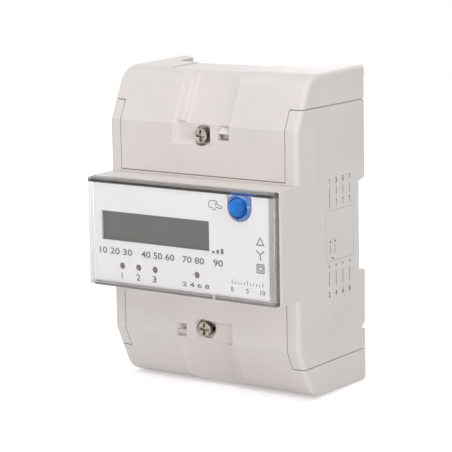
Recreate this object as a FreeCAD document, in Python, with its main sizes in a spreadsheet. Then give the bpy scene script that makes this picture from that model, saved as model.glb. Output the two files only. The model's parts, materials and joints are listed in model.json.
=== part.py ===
import FreeCAD, Part
import math
import os
import Sketcher

# Three-phase energy meter for a 35 mm rail: a deep moulded case with a central display bulge,
# two screw-down terminal covers, eight cage terminals and the measuring parts inside.
# Frame, in millimetres: the origin is the middle of the rail seat, X runs to the right as seen
# from the front, Y runs back towards the rail and Z is up. "Front" values are distances in
# front of the rail seat, so the plane at front distance f lies at Y = -f.

DIMENSIONS = [
    ("case_width", 88.4, "overall width, five rail modules"),
    ("slot_depth", 4.3, "rail slot, from the rear plane to the seat"),
    ("slot_height", 35.6, "rail slot, room for a 35 mm rail"),
    ("slot_lead", 1.2, "rise of the slot's slanting upper side"),
    ("rail_play", 0.6, "rail slot, taller than the rail"),
    ("seam_height", 49.5, "half height of the housing, where the covers begin"),
    ("cover_rise", 12.6, "corner of cover face and cover top above the seam"),
    ("rear_rise", 0.9, "rise of the cover top from its corner to the rear plane"),
    ("parting_front", 28.1, "parting plane of base and front housing"),
    ("front_depth", 15.4, "front plane of covers and cheeks before the parting plane"),
    ("lean_rise", 7.4, "height of the leaning part of the cheeks"),
    ("lean_angle", 25.4, "lean of the upper front, degrees from upright"),
    ("corner_radius", 10.0, "rounding between cover face and cover top"),
    ("bulge_height", 43.2, "display bulge, up and down"),
    ("bulge_drop", 0.3, "display bulge, its middle below the seat's middle"),
    ("bulge_rise", 12.35, "display bulge before the cover faces"),
    ("wall", 2.2, "wall of base and front housing"),
    ("cover_wall", 2.0, "wall of the terminal covers"),
    ("seam_gap", 0.3, "gap between a cover and the housing"),
    ("edge_round", 2.0, "rounding of the outer front edges"),
    ("cheek_width", 5.4, "width of the housing's cheeks beside a cover"),
    ("well_margin", 0.85, "from the taller half of the bulge's side to the cover wells"),
    ("deck_wall", 1.9, "deck over the terminal blocks"),
    ("fit_gap", 0.1, "clearance between parts that sit in each other"),
    ("thread_gap", 0.05, "clearance between a screw and its plain thread hole"),
    ("screw_gap", 0.2, "clearance of a screw in a through hole"),
    ("case_screw_rise", 8.0, "case screws above the slot's edge"),
    ("case_screw_radius", 1.2, "case screws"),
    ("case_screw_head", 2.5, "case screw heads, radius"),
    ("case_screw_grip", 7.9, "case screws beyond the parting plane"),
    ("case_screw_seat", 1.2, "seat of the case screw heads, behind the rail seat"),
    ("boss_wall", 0.6, "case screw bosses, beyond the heads"),
    ("head_height", 2.2, "case screw heads"),
    ("rear_pocket_depth", 3.7, "cored-out pockets in the rear face"),
    ("notch_drop", 9.3, "pry notch in the rear edge, its middle above the lower seam"),
    ("notch_mouth", 3.0, "pry notch, mouth"),
    ("notch_depth", 3.1, "pry notch, depth"),
    ("notch_end", 0.3, "pry notch, height at its inner end"),
    ("hook_inset", 18.2, "rail hooks, their middle from the case's side"),
    ("hook_width", 12.0, "rail hooks"),
    ("rail_sheet", 1.0, "sheet of the rail"),
    ("rail_slack", 0.35, "play of the rail's flange behind the hooks"),
    ("hook_overlap", 1.3, "grip of hooks and clip over a 35 mm rail"),
    ("hook_thickness", 2.1, "rail hooks, front to back"),
    ("hook_bevel", 0.8, "lead-in on hooks and clip tooth"),
    ("clip_width", 19.8, "rail clip, its flanges"),
    ("clip_lip", 1.15, "rail clip, its flanges beyond the neck on each side"),
    ("clip_flange", 1.4, "rail clip, thickness of its flanges"),
    ("clip_start", 0.4, "rail clip below the slot's lower edge"),
    ("clip_gap", 0.1, "running gap of the rail clip"),
    ("guide_front", 0.8, "floor of the clip guide, behind the rail seat"),
    ("tail_drop", 9.0, "pull tab of the rail clip below the seam"),
    ("tail_width", 14.0, "pull tab of the rail clip"),
    ("tail_slot_width", 7.0, "screwdriver slot in the pull tab"),
    ("tail_slot_height", 2.4, "screwdriver slot in the pull tab"),
    ("spring_drop", 8.2, "upper end of the clip spring below the slot's edge"),
    ("spring_length", 14.0, "clip spring at rest"),
    ("spring_wire", 0.3, "clip spring wire, radius"),
    ("spring_pitch", 2.68, "clip spring, pitch"),
    ("spring_lug", 1.5, "lug that carries the clip spring"),
    ("cable_radius", 4.1, "cable bore of a main terminal"),
    ("cage_side", 2.1, "terminal cage beside the bore"),
    ("cage_rear_wall", 1.3, "terminal cage behind the bore"),
    ("cage_front_wall", 2.2, "terminal cage in front of the bore"),
    ("cage_height", 14.0, "terminal cage, along the cable"),
    ("cage_floor", 2.0, "terminal cage at the inner end of its bore"),
    ("mouth_wall", 3.4, "wall between cage and cable compartment"),
    ("mouth_extra", 0.3, "cable mouth, wider than the bore by this radius"),
    ("block_side", 2.2, "terminal block from the cover wells' sides"),
    ("block_end", 0.15, "terminal block from the cover wells' inner ends"),
    ("pitch_margin", 0.7, "terminal pitch, less than a quarter of the block"),
    ("terminal_screw_radius", 3.0, "terminal screws"),
    ("terminal_screw_head", 3.7, "terminal screw heads, radius"),
    ("terminal_screw_depth", 4.1, "terminal screw heads behind the parting plane"),
    ("terminal_head_height", 3.2, "terminal screw heads"),
    ("driver_hole_extra", 0.5, "driver holes, wider than the screw heads by this radius"),
    ("slot_cut", 1.0, "width of screwdriver slots"),
    ("aux_radius", 1.3, "cable bore of a pulse terminal"),
    ("aux_width", 4.4, "pulse terminal, sideways"),
    ("aux_depth", 6.0, "pulse terminal, front to back"),
    ("aux_height", 9.0, "pulse terminal, along the cable"),
    ("aux_step", 0.4, "pulse terminals before the main cages"),
    ("aux_floor", 2.0, "pulse terminal at the inner end of its bore"),
    ("aux_screw_radius", 1.2, "pulse terminal screws"),
    ("aux_head", 1.7, "pulse terminal screw heads, radius"),
    ("aux_head_height", 1.6, "pulse terminal screw heads"),
    ("strap_width", 7.0, "current straps"),
    ("strap_thickness", 1.5, "current straps"),
    ("strap_waist", 4.0, "resistance strip of a current strap, width"),
    ("waist_length", 9.0, "resistance strip of a current strap, length"),
    ("strap_tab", 8.0, "turned-up end of a strap under its cage"),
    ("seal_x_reach", 4.6, "seal block, from the middle"),
    ("seal_screw_drop", 4.1, "cover screw below the fold"),
    ("seal_head_radius", 2.9, "cover screw head"),
    ("seal_head_length", 4.0, "cover screw head"),
    ("seal_shank_radius", 1.6, "cover screw shank"),
    ("seal_hole_radius", 0.9, "wire hole through the cover screw"),
    ("seal_hole_depth", 2.6, "wire hole through the cover screw, behind the cover face"),
    ("seal_cross_depth", 1.4, "crossed slots of the cover screw, depth"),
    ("slot_margin", 0.6, "crossed slots, from the rim of a screw's head"),
    ("seal_room", 1.1, "room around the cover screw head"),
    ("insert_radius", 2.3, "threaded insert"),
    ("insert_length", 7.0, "threaded insert"),
    ("channel_half", 13.3, "channel in the cover, half width at the surface"),
    ("channel_step", 0.6, "channel, sideways run of each of its three steps"),
    ("channel_ledge", 2.7, "channel, outer ledge between two steps"),
    ("channel_inner_ledge", 1.4, "channel, inner ledge between two steps"),
    ("channel_sweep", 1.5, "channel, where its floor starts to curve up, from the middle"),
    ("channel_rim", 0.9, "channel, height of the steep rim above the curve"),
    ("foot_taper", 36.0, "slope of the walls at the channel's foot, degrees"),
    ("channel_depth", 2.5, "channel in the cover"),
    ("channel_foot_drop", 7.8, "lower end of the channel below the fold"),
    ("wire_slot_half", 1.2, "seal wire slot, half height"),
    ("wire_slot_depth", 3.2, "seal wire slot"),
    ("wire_slot_start", 8.5, "seal wire slot, nearer end"),
    ("top_recess", 0.35, "shallow recess in the cover's top, depth"),
    ("recess_left", 23.0, "shallow recess, left of the middle"),
    ("recess_right", 13.8, "shallow recess, right of the middle"),
    ("mouth_inset", 11.4, "cable opening of a cover, from the case's side"),
    ("mouth_draft", 1.6, "widening of the cable opening on its way to the rear"),
    ("flare_inset", 4.9, "cable opening at the rear plane, from the case's side"),
    ("flare_depth", 4.2, "slanting end of the cover's sides beside the opening"),
    ("mouth_depth", 16.6, "cable opening of a cover, from the rear plane"),
    ("mouth_round", 4.0, "cable opening of a cover, corner rounding"),
    ("window_side", 0.2, "clear window, inset from the case's sides"),
    ("window_inset", 0.15, "clear window, inset from the bulge's upper and lower faces"),
    ("window_rim", 2.8, "clear window, rim beside the label plate"),
    ("window_wall", 1.2, "clear window, its four side walls"),
    ("window_sheet", 1.4, "clear window, front pane"),
    ("pane_gap", 0.15, "gap between label plate and the window's pane"),
    ("window_round", 1.5, "clear window, rounding of its upright edges"),
    ("latch_x", 15.3, "window latch, right of the middle"),
    ("latch_width", 1.8, "window latch"),
    ("latch_height", 1.3, "window latch, front to back"),
    ("latch_step", 0.45, "window latch, from the bulge's lower face"),
    ("platform_rise", 1.4, "label platform above the bulge"),
    ("platform_step", 0.2, "label plate beyond its platform, sideways"),
    ("label_upper", 2.2, "label plate, upper edge below the bulge's top"),
    ("label_lower", 2.6, "label plate, lower edge above the bulge's bottom"),
    ("label_corner", 3.0, "label plate, cut-off corner at the lower right"),
    ("label_sheet", 0.5, "label plate"),
    ("lcd_margin_left", 3.6, "display opening from the label's left edge"),
    ("lcd_share", 0.625, "display opening, share of the label's width"),
    ("lcd_height", 11.45, "display opening, up and down"),
    ("lcd_level", 2.5, "display opening, its middle above the seat's middle"),
    ("lcd_sheet", 2.4, "display glass"),
    ("lcd_sink", 1.3, "display glass behind the label plate"),
    ("lcd_slack", 0.2, "display glass beyond the opening"),
    ("lcd_margin", 1.4, "display holder around the opening"),
    ("lamp_margin", 13.3, "first lamp from the label's left edge"),
    ("lamp_pitch", 7.95, "phase lamps, sideways"),
    ("pulse_lamp_margin", 49.1, "pulse lamp from the label's left edge"),
    ("lamp_level", 6.3, "lamps above the label's lower edge"),
    ("lamp_radius", 1.5, "lamps"),
    ("lamp_rim", 0.4, "foot rim of the lamps"),
    ("lamp_rim_height", 1.0, "foot rim of the lamps, front to back"),
    ("lamp_lead", 0.25, "lamp leads, radius"),
    ("lamp_lead_step", 0.9, "lamp leads from the lamp's middle"),
    ("lamp_body", 6.5, "lamps without their leads"),
    ("button_margin", 13.2, "button from the label's right edge"),
    ("button_drop", 4.4, "button below the label's upper edge"),
    ("button_half", 5.3, "button tongue, half width"),
    ("button_tongue", 1.0, "button tongue, thickness"),
    ("button_shoulder", 3.2, "button tongue, rounding of its upper corners"),
    ("button_cap", 3.3, "button cap, radius"),
    ("button_rise", 1.6, "button cap above the window"),
    ("button_soft", 0.9, "button cap, rounding of its front edge"),
    ("button_room", 0.9, "room around the button cap in the window"),
    ("button_stem", 2.4, "button stem, radius"),
    ("button_travel", 0.5, "button travel"),
    ("button_gap", 0.2, "running gap of the button"),
    ("switch_size", 6.0, "switch behind the button"),
    ("switch_height", 3.5, "switch behind the button"),
    ("plunger_radius", 1.7, "switch plunger"),
    ("plunger_length", 1.5, "switch plunger, outside the switch"),
    ("plunger_seat", 0.5, "depth of the plunger in the switch"),
    ("board_sheet", 1.6, "circuit boards"),
    ("display_board_step", 6.05, "display board behind the bulge's front wall"),
    ("display_board_side", 4.7, "display board from the case's sides"),
    ("display_board_end", 4.1, "display board from the bulge's upper and lower faces"),
    ("display_post_side", 8.0, "display board posts from the case's sides"),
    ("display_post_end", 7.4, "display board posts from the bulge's faces"),
    ("main_board_step", 9.8, "main board before the base's floor"),
    ("main_board_side", 5.7, "main board from the case's sides"),
    ("main_board_end", 1.45, "main board from the cover wells"),
    ("main_post_side", 9.7, "main board posts from the case's sides"),
    ("main_post_end", 5.45, "main board posts from the cover wells"),
    ("post_radius", 2.3, "board posts"),
    ("board_screw_radius", 1.1, "board screws"),
    ("board_screw_head", 2.0, "board screw heads, radius"),
    ("board_screw_length", 5.2, "board screws beyond their head"),
    ("board_head_height", 1.4, "board screw heads"),
    ("can_radius", 5.0, "supply capacitor, radius"),
    ("can_length", 16.0, "supply capacitor"),
    ("disc_radius", 5.0, "varistors, radius"),
    ("disc_sheet", 4.0, "varistors, thickness"),
    ("film_length", 16.0, "film capacitor, sideways"),
    ("film_width", 8.0, "film capacitor, up and down"),
    ("film_height", 14.0, "film capacitor, front to back"),
    ("transformer_size", 11.0, "supply transformer"),
    ("chip_size", 9.0, "metering chip"),
    ("chip_sheet", 1.6, "metering chip, thickness"),
    ("coupler_size", 5.0, "pulse coupler"),
    ("coupler_height", 3.5, "pulse coupler, front to back"),
    ("link_length", 18.0, "board link, sideways"),
    ("link_width", 5.0, "board link, up and down"),
    ("link_socket", 8.5, "socket of the board link, front to back"),
    ("link_header", 2.5, "pin header of the board link, front to back"),
    ("link_pitch", 2.94, "pins of the board link"),
    ("link_pin", 0.64, "pins of the board link, across"),
]


class Size:
    """A number that also carries the spreadsheet expression it is worked out from."""

    def __init__(self, number, text):
        self.number = number
        self.text = text

    def __float__(self):
        return float(self.number)

    def __add__(self, other):
        return joined(self, "+", other, lambda a, b: a + b)

    def __radd__(self, other):
        return joined(other, "+", self, lambda a, b: a + b)

    def __sub__(self, other):
        return joined(self, "-", other, lambda a, b: a - b)

    def __rsub__(self, other):
        return joined(other, "-", self, lambda a, b: a - b)

    def __mul__(self, other):
        return joined(self, "*", other, lambda a, b: a * b)

    def __rmul__(self, other):
        return joined(other, "*", self, lambda a, b: a * b)

    def __truediv__(self, other):
        return joined(self, "/", other, lambda a, b: a / b)

    def __neg__(self):
        return joined(0, "-", self, lambda a, b: a - b)


def as_size(value):
    if isinstance(value, Size):
        return value
    return Size(float(value), repr(float(value)))


def joined(left, sign, right, rule):
    left = as_size(left)
    right = as_size(right)
    return Size(rule(left.number, right.number), f"({left.text} {sign} {right.text})")


def tangent(angle):
    return Size(math.tan(math.radians(angle.number)), f"tan({angle.text})")


def secant(angle):
    return Size(1 / math.cos(math.radians(angle.number)), f"(1 / cos({angle.text}))")


doc = FreeCAD.newDocument("energy_meter")
sheet = doc.addObject("Spreadsheet::Sheet", "sizes")
for row, (alias, number, note) in enumerate(DIMENSIONS, start=1):
    sheet.set(f"A{row}", alias)
    sheet.set(f"B{row}", str(number))
    sheet.set(f"C{row}", note)
    sheet.setAlias(f"B{row}", alias)
doc.recompute()
NUMBERS = {alias: number for alias, number, note in DIMENSIONS}
PARTS = []


def size(alias):
    return Size(NUMBERS[alias], f"sizes.{alias}")


def tie(item, name, value):
    """Binds one property to the spreadsheet, or sets it where the value is a plain number."""
    value = as_size(value)
    item.setExpression(name, value.text)


def new_body(label):
    body = doc.addObject("PartDesign::Body", label)
    body.Label = label
    PARTS.append(body)
    return body


def new_sketch(body, name, plane, offset=0):
    """Starts a sketch on one of the body's own origin planes, moved along its normal."""
    sketch = body.newObject("Sketcher::SketchObject", name)
    support = [item for item in body.Origin.OriginFeatures if item.Role == plane][0]
    sketch.AttachmentSupport = (support, [""])
    sketch.MapMode = "FlatFace"
    tie(sketch, "AttachmentOffset.Base.z", offset)
    return sketch


def pin_value(sketch, constraint, value):
    index = sketch.addConstraint(constraint)
    sketch.setExpression(f"Constraints[{index}]", as_size(value).text)


def arc_between(start, end, radius):
    """The short arc of a given radius that runs anticlockwise from start to end."""
    across = end.sub(start)
    middle = start.add(end).multiply(0.5)
    rise = math.sqrt(radius ** 2 - (across.Length / 2) ** 2) / across.Length
    centre = FreeCAD.Vector(middle.x - across.y * rise, middle.y + across.x * rise, 0)
    angles = [math.atan2(point.y - centre.y, point.x - centre.x) for point in (start, end)]
    circle = Part.Circle(centre, FreeCAD.Vector(0, 0, 1), radius)
    return Part.ArcOfCircle(circle, angles[0], angles[1])


def add_outline(sketch, points, arc_from=None, arc_radius=None):
    """Adds a closed outline with pinned corners; one of its sides may be an arc."""
    first = sketch.GeometryCount
    count = len(points)
    corners = [FreeCAD.Vector(float(across), float(along), 0) for across, along in points]
    for step in range(count):
        following = corners[(step + 1) % count]
        if step == arc_from:
            side = arc_between(corners[step], following, float(arc_radius))
        else:
            side = Part.LineSegment(corners[step], following)
        sketch.addGeometry(side, False)
    for step in range(count):
        following = first + (step + 1) % count
        sketch.addConstraint(Sketcher.Constraint("Coincident", first + step, 2, following, 1))
    for step, (across, along) in enumerate(points):
        edge = first + step
        pin_value(sketch, Sketcher.Constraint("DistanceX", edge, 1, float(across)), across)
        pin_value(sketch, Sketcher.Constraint("DistanceY", edge, 1, float(along)), along)
    if arc_from is not None:
        radius = Sketcher.Constraint("Radius", first + arc_from, float(arc_radius))
        pin_value(sketch, radius, arc_radius)


def add_rectangle(sketch, left, right, low, high):
    add_outline(sketch, [(left, low), (right, low), (right, high), (left, high)])


def add_circle(sketch, across, along, radius):
    centre = FreeCAD.Vector(float(across), float(along), 0)
    normal = FreeCAD.Vector(0, 0, 1)
    index = sketch.addGeometry(Part.Circle(centre, normal, float(radius)), False)
    pin_value(sketch, Sketcher.Constraint("DistanceX", index, 3, float(across)), across)
    pin_value(sketch, Sketcher.Constraint("DistanceY", index, 3, float(along)), along)
    pin_value(sketch, Sketcher.Constraint("Radius", index, float(radius)), radius)


def volume_of(body):
    if body.Tip is None or body.Tip.isDerivedFrom("Sketcher::SketchObject"):
        return 0.0
    return body.Tip.Shape.Volume


def pad(body, sketch, length, both_ways=False, backwards=False):
    """Adds the sketch's area along its normal, or evenly to both sides of its plane."""
    before = volume_of(body)
    feature = body.newObject("PartDesign::Pad", sketch.Name + "_pad")
    feature.Profile = sketch
    tie(feature, "Length", length)
    feature.SideType = "Symmetric" if both_ways else "One side"
    feature.Reversed = backwards
    doc.recompute()
    if feature.Shape.Volume <= before:
        raise RuntimeError(f"{body.Label}: {feature.Name} adds nothing")
    return feature


def pocket(body, sketch, length, both_ways=False, forwards=False, taper=0):
    """Cuts the sketch's area against its normal, along it, or evenly to both sides."""
    before = volume_of(body)
    feature = body.newObject("PartDesign::Pocket", sketch.Name + "_cut")
    feature.Profile = sketch
    tie(feature, "Length", length)
    tie(feature, "TaperAngle", taper)
    feature.SideType = "Symmetric" if both_ways else "One side"
    feature.Reversed = forwards
    doc.recompute()
    if feature.Shape.Volume >= before:
        raise RuntimeError(f"{body.Label}: {feature.Name} cuts nothing")
    return feature


def round_edges(body, name, radius, chosen):
    """Rounds the edges of the body's last feature that the given test picks."""
    last = body.Tip
    names = [f"Edge{number}" for number, edge in enumerate(last.Shape.Edges, 1) if chosen(edge)]
    if not names:
        raise RuntimeError(f"{body.Label}: {name} finds no edge")
    feature = body.newObject("PartDesign::Fillet", name)
    feature.Base = (last, names)
    tie(feature, "Radius", radius)
    doc.recompute()
    return feature


def close(first, second):
    return abs(float(first) - float(second)) < 0.01


def spans(edge, axis):
    """Length of an edge along one axis, 0 for X, 1 for Y and 2 for Z."""
    box = edge.BoundBox
    return (box.XLength, box.YLength, box.ZLength)[axis]


def runs_along(edge, axis):
    """True for a straight edge parallel to one axis."""
    return spans(edge, axis) > 0.5 and close(spans(edge, axis), edge.Length)


def block(name, x_range, front_range, z_range):
    """A Part box between named limits; the second range is in front distances."""
    item = doc.addObject("Part::Box", name)
    tie(item, "Length", x_range[1] - x_range[0])
    tie(item, "Width", front_range[1] - front_range[0])
    tie(item, "Height", z_range[1] - z_range[0])
    tie(item, "Placement.Base.x", x_range[0])
    tie(item, "Placement.Base.y", -as_size(front_range[1]))
    tie(item, "Placement.Base.z", z_range[0])
    return item


TURNS = {
    "forward": FreeCAD.Rotation(FreeCAD.Vector(1, 0, 0), 90),
    "up": FreeCAD.Rotation(),
    "right": FreeCAD.Rotation(FreeCAD.Vector(0, 1, 0), 90),
}


def rod(name, heading, radius, x_at, front_at, z_at, length):
    """A Part cylinder that starts at a point and runs forward, up or to the right."""
    item = doc.addObject("Part::Cylinder", name)
    item.Placement = FreeCAD.Placement(FreeCAD.Vector(), TURNS[heading])
    tie(item, "Radius", radius)
    tie(item, "Height", length)
    tie(item, "Placement.Base.x", x_at)
    tie(item, "Placement.Base.y", -as_size(front_at))
    tie(item, "Placement.Base.z", z_at)
    return item


def fused(name, pieces):
    if len(pieces) == 1:
        return pieces[0]
    item = doc.addObject("Part::MultiFuse", name)
    item.Shapes = pieces
    return item


def minus(name, base, tools):
    item = doc.addObject("Part::Cut", name)
    item.Base = base
    item.Tool = fused(name + "_tools", tools)
    return item


def grouped(name, pieces):
    item = doc.addObject("Part::Compound", name)
    item.Links = pieces
    return item


def keep(item, label):
    """Names a finished sub-part; its label is also its file's name."""
    item.Label = label
    PARTS.append(item)
    return item


# Values that several pieces share
PAST = 1.0
HALF_WIDTH = size("case_width") / 2
REAR = -size("slot_depth")
HALF_SLOT = size("slot_height") / 2
CASE_FRONT = size("parting_front") + size("front_depth")
FOLD = size("seam_height") - size("lean_rise")
COVER_TOP = size("seam_height") + size("cover_rise")
LEAN = tangent(size("lean_angle"))
SEAM_FRONT = CASE_FRONT - size("lean_rise") * LEAN
CHEEK_INNER = HALF_WIDTH - size("cheek_width")
DECK_FRONT = size("parting_front") + size("deck_wall")
BASE_FLOOR = size("wall")
BULGE_TOP = size("bulge_height") / 2 - size("bulge_drop")
BULGE_BOTTOM = -size("bulge_height") / 2 - size("bulge_drop")
BULGE_FRONT = CASE_FRONT + size("bulge_rise")
BULGE_WALL_BACK = BULGE_FRONT - size("wall")
WELL_EDGE = size("bulge_height") / 2 + size("well_margin")
CASE_SCREW_X = HALF_WIDTH - size("cheek_width") * 2 / 3
CASE_SCREW_Z = HALF_SLOT + size("slot_lead") + size("case_screw_rise")
CASE_SCREW_END = size("parting_front") + size("case_screw_grip")
CLIP_NECK = size("clip_width") - 2 * size("clip_lip")
CLIP_TOP = -(HALF_SLOT + size("clip_start"))
CLIP_TAIL = -(size("seam_height") + size("tail_drop"))
CLIP_FRONT = -(size("guide_front") + size("clip_gap"))
RAIL_HALF = (size("slot_height") - size("rail_play")) / 2
SPRING_TOP = -(HALF_SLOT + size("spring_drop"))
SPRING_BOTTOM = SPRING_TOP - size("spring_length")
SPRING_REACH = (size("slot_depth") - size("guide_front")) / 2 - size("fit_gap")
CAGE_REAR = BASE_FLOOR + 2 * size("fit_gap")
CABLE_FRONT = CAGE_REAR + size("cage_rear_wall") + size("cable_radius")
CAGE_FRONT = CABLE_FRONT + size("cable_radius") + size("cage_front_wall")
CAGE_HALF = size("cable_radius") + size("cage_side")
CAGE_OUTER = size("seam_height") - size("mouth_wall")
CAGE_INNER = CAGE_OUTER - size("cage_height")
TERMINAL_SCREW_Z = CAGE_OUTER - size("cage_height") / 2
TERMINAL_SCREW_FRONT = size("parting_front") - size("terminal_screw_depth")
BLOCK_HALF = CHEEK_INNER - size("block_side")
BLOCK_INNER = WELL_EDGE + size("block_end")
TERMINAL_PITCH = BLOCK_HALF / 2 - size("pitch_margin")
TERMINAL_COLUMNS = [-1.5, -0.5, 0.5, 1.5]
AUX_FRONT = CAGE_FRONT + size("aux_step") + size("aux_depth") / 2
AUX_SCREW_Z = CAGE_OUTER - size("aux_height") / 2
SEAL_Z = FOLD - size("seal_screw_drop")
SEAL_END = size("parting_front") - size("insert_length")
SEAL_HOLE_FRONT = CASE_FRONT - size("seal_hole_depth")
WINDOW_HALF = HALF_WIDTH - size("window_side")
LABEL_HALF = WINDOW_HALF - size("window_rim")
LABEL_TOP = BULGE_TOP - size("label_upper")
LABEL_BOTTOM = BULGE_BOTTOM + size("label_lower")
LABEL_BACK = BULGE_FRONT + size("platform_rise")
LABEL_FRONT = LABEL_BACK + size("label_sheet")
WINDOW_BACK = LABEL_FRONT + size("pane_gap")
WINDOW_FRONT = WINDOW_BACK + size("window_sheet")
LCD_LEFT = -LABEL_HALF + size("lcd_margin_left")
LCD_RIGHT = LCD_LEFT + 2 * LABEL_HALF * size("lcd_share")
LCD_LOW = size("lcd_level") - size("lcd_height") / 2
LCD_HIGH = size("lcd_level") + size("lcd_height") / 2
LCD_FRONT = LABEL_FRONT - size("lcd_sink")
LAMP_Z = LABEL_BOTTOM + size("lamp_level")
BUTTON_X = LABEL_HALF - size("button_margin")
BUTTON_Z = LABEL_TOP - size("button_drop")
TONGUE_BACK = LABEL_FRONT - size("button_tongue")
TONGUE_ROOM = size("button_half") + size("button_gap")
DISPLAY_BOARD_FRONT = BULGE_WALL_BACK - size("display_board_step")
DISPLAY_BOARD_BACK = DISPLAY_BOARD_FRONT - size("board_sheet")
DISPLAY_BOARD_HALF = HALF_WIDTH - size("display_board_side")
DISPLAY_POST_X = HALF_WIDTH - size("display_post_side")
DISPLAY_POST_Z = size("bulge_height") / 2 - size("display_post_end")
SWITCH_FRONT = DISPLAY_BOARD_FRONT + size("switch_height")
PLUNGER_FRONT = SWITCH_FRONT + size("plunger_length")
MAIN_BOARD_BACK = BASE_FLOOR + size("main_board_step")
MAIN_BOARD_FRONT = MAIN_BOARD_BACK + size("board_sheet")
MAIN_BOARD_HALF = HALF_WIDTH - size("main_board_side")
MAIN_BOARD_TALL = WELL_EDGE - size("main_board_end")
MAIN_POST_X = HALF_WIDTH - size("main_post_side")
MAIN_POST_Z = WELL_EDGE - size("main_post_end")
SIDES = (-1, 1)
CORNERS = ((-1, -1), (-1, 1), (1, -1), (1, 1))


def terminal_x(column):
    return TERMINAL_PITCH * column


def lamp_positions():
    first = -LABEL_HALF + size("lamp_margin")
    phase = [first + size("lamp_pitch") * step for step in range(3)]
    return phase + [-LABEL_HALF + size("pulse_lamp_margin")]


def four_circles(sketch, x_at, z_at, radius):
    for side, level in CORNERS:
        add_circle(sketch, x_at * side, z_at * level, radius)


def tongue_outline(body, name, plane_front, half, top):
    """Sketch of the button tongue's form: straight above, round below."""
    sketch = new_sketch(body, name, "XZ_Plane", plane_front)
    add_rectangle(sketch, BUTTON_X - half, BUTTON_X + half, BUTTON_Z - half, top)
    return sketch


def tongue_corner(half):
    """Picks the two lower upright corners of a tongue of the given half width."""
    def chosen(edge):
        across = abs(abs(edge.CenterOfMass.x - float(BUTTON_X)) - float(half)) < 0.01
        low = close(edge.CenterOfMass.z, float(BUTTON_Z) - float(half))
        return across and low and close(spans(edge, 1), edge.Length)
    return chosen


# Rear base
def rear_base():
    body = new_body("rear_base")
    half = size("seam_height")
    parting = size("parting_front")
    past_rear = -REAR + PAST
    outline = new_sketch(body, "base_outline", "YZ_Plane")
    add_rectangle(outline, -parting, -REAR, -half, half)
    pad(body, outline, size("case_width"), both_ways=True)

    slot = new_sketch(body, "rail_slot", "YZ_Plane")
    lead = size("slot_lead") * past_rear / size("slot_depth")
    add_outline(slot, [(0, -HALF_SLOT), (past_rear, -HALF_SLOT),
                       (past_rear, HALF_SLOT + lead), (0, HALF_SLOT)])
    pocket(body, slot, size("case_width") + PAST, both_ways=True)

    cavity = new_sketch(body, "base_cavity", "XZ_Plane", parting)
    room = HALF_WIDTH - size("wall")
    add_rectangle(cavity, -room, room, -(half - size("wall")), half - size("wall"))
    cavity_depth = parting - BASE_FLOOR
    pocket(body, cavity, cavity_depth)
    ends = new_sketch(body, "block_openings", "XZ_Plane", parting)
    opening = BLOCK_HALF + size("fit_gap")
    add_rectangle(ends, -opening, opening, -(half + PAST), half + PAST)
    pocket(body, ends, cavity_depth)

    base_posts(body, cavity_depth)
    rear_face(body)
    rail_hooks(body)
    clip_guide(body)
    return body


def base_posts(body, cavity_depth):
    """Bosses for the case screws and posts for the main board, with their holes."""
    head = size("case_screw_head") + size("screw_gap")
    bosses = new_sketch(body, "screw_bosses", "XZ_Plane", BASE_FLOOR)
    four_circles(bosses, CASE_SCREW_X, CASE_SCREW_Z, head + size("boss_wall"))
    pad(body, bosses, cavity_depth)
    posts = new_sketch(body, "board_posts", "XZ_Plane", BASE_FLOOR)
    four_circles(posts, MAIN_POST_X, MAIN_POST_Z, size("post_radius"))
    pad(body, posts, size("main_board_step"))
    pilots = new_sketch(body, "post_holes", "XZ_Plane", MAIN_BOARD_BACK)
    four_circles(pilots, MAIN_POST_X, MAIN_POST_Z, size("board_screw_radius") + size("thread_gap"))
    pocket(body, pilots, size("board_screw_length"))
    shanks = new_sketch(body, "screw_holes", "XZ_Plane", size("parting_front"))
    four_circles(shanks, CASE_SCREW_X, CASE_SCREW_Z, size("case_screw_radius") + size("screw_gap"))
    pocket(body, shanks, size("parting_front") + size("slot_depth") + PAST)
    heads = new_sketch(body, "screw_head_holes", "XZ_Plane", -size("case_screw_seat"))
    four_circles(heads, CASE_SCREW_X, CASE_SCREW_Z, head)
    pocket(body, heads, size("slot_depth"))


def rear_face(body):
    """Cored-out pockets between ribs, and a pry notch in each rear edge."""
    rib = size("wall")
    pockets = new_sketch(body, "rear_pockets", "XZ_Plane", REAR + size("rear_pocket_depth"))
    inner = size("clip_width") / 2 + 2 * rib
    outer = CASE_SCREW_X - size("case_screw_head") - size("screw_gap") - rib
    middle = (inner + outer) / 2
    low = HALF_SLOT + size("slot_lead") + rib
    high = size("seam_height") - rib
    for side, level in CORNERS:
        for start, end in ((inner, middle - rib / 2), (middle + rib / 2, outer)):
            left, right = (start, end) if side > 0 else (-end, -start)
            bottom, top = (low, high) if level > 0 else (-high, -low)
            add_rectangle(pockets, left, right, bottom, top)
    pocket(body, pockets, size("rear_pocket_depth") + PAST)

    middle_level = -(size("seam_height") - size("notch_drop"))
    bottom = middle_level - size("notch_mouth") / 2
    top = middle_level + size("notch_mouth") / 2
    inner_y = -REAR - size("notch_depth")
    for name, start in (("left", -HALF_WIDTH - PAST), ("right", HALF_WIDTH - size("wall"))):
        notch = new_sketch(body, "pry_notch_" + name, "YZ_Plane", start)
        add_outline(notch, [(-REAR + PAST, top), (-REAR, top), (inner_y, bottom + size("notch_end")),
                            (inner_y, bottom), (-REAR + PAST, bottom)])
        pocket(body, notch, size("wall") + PAST, forwards=True)


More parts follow.
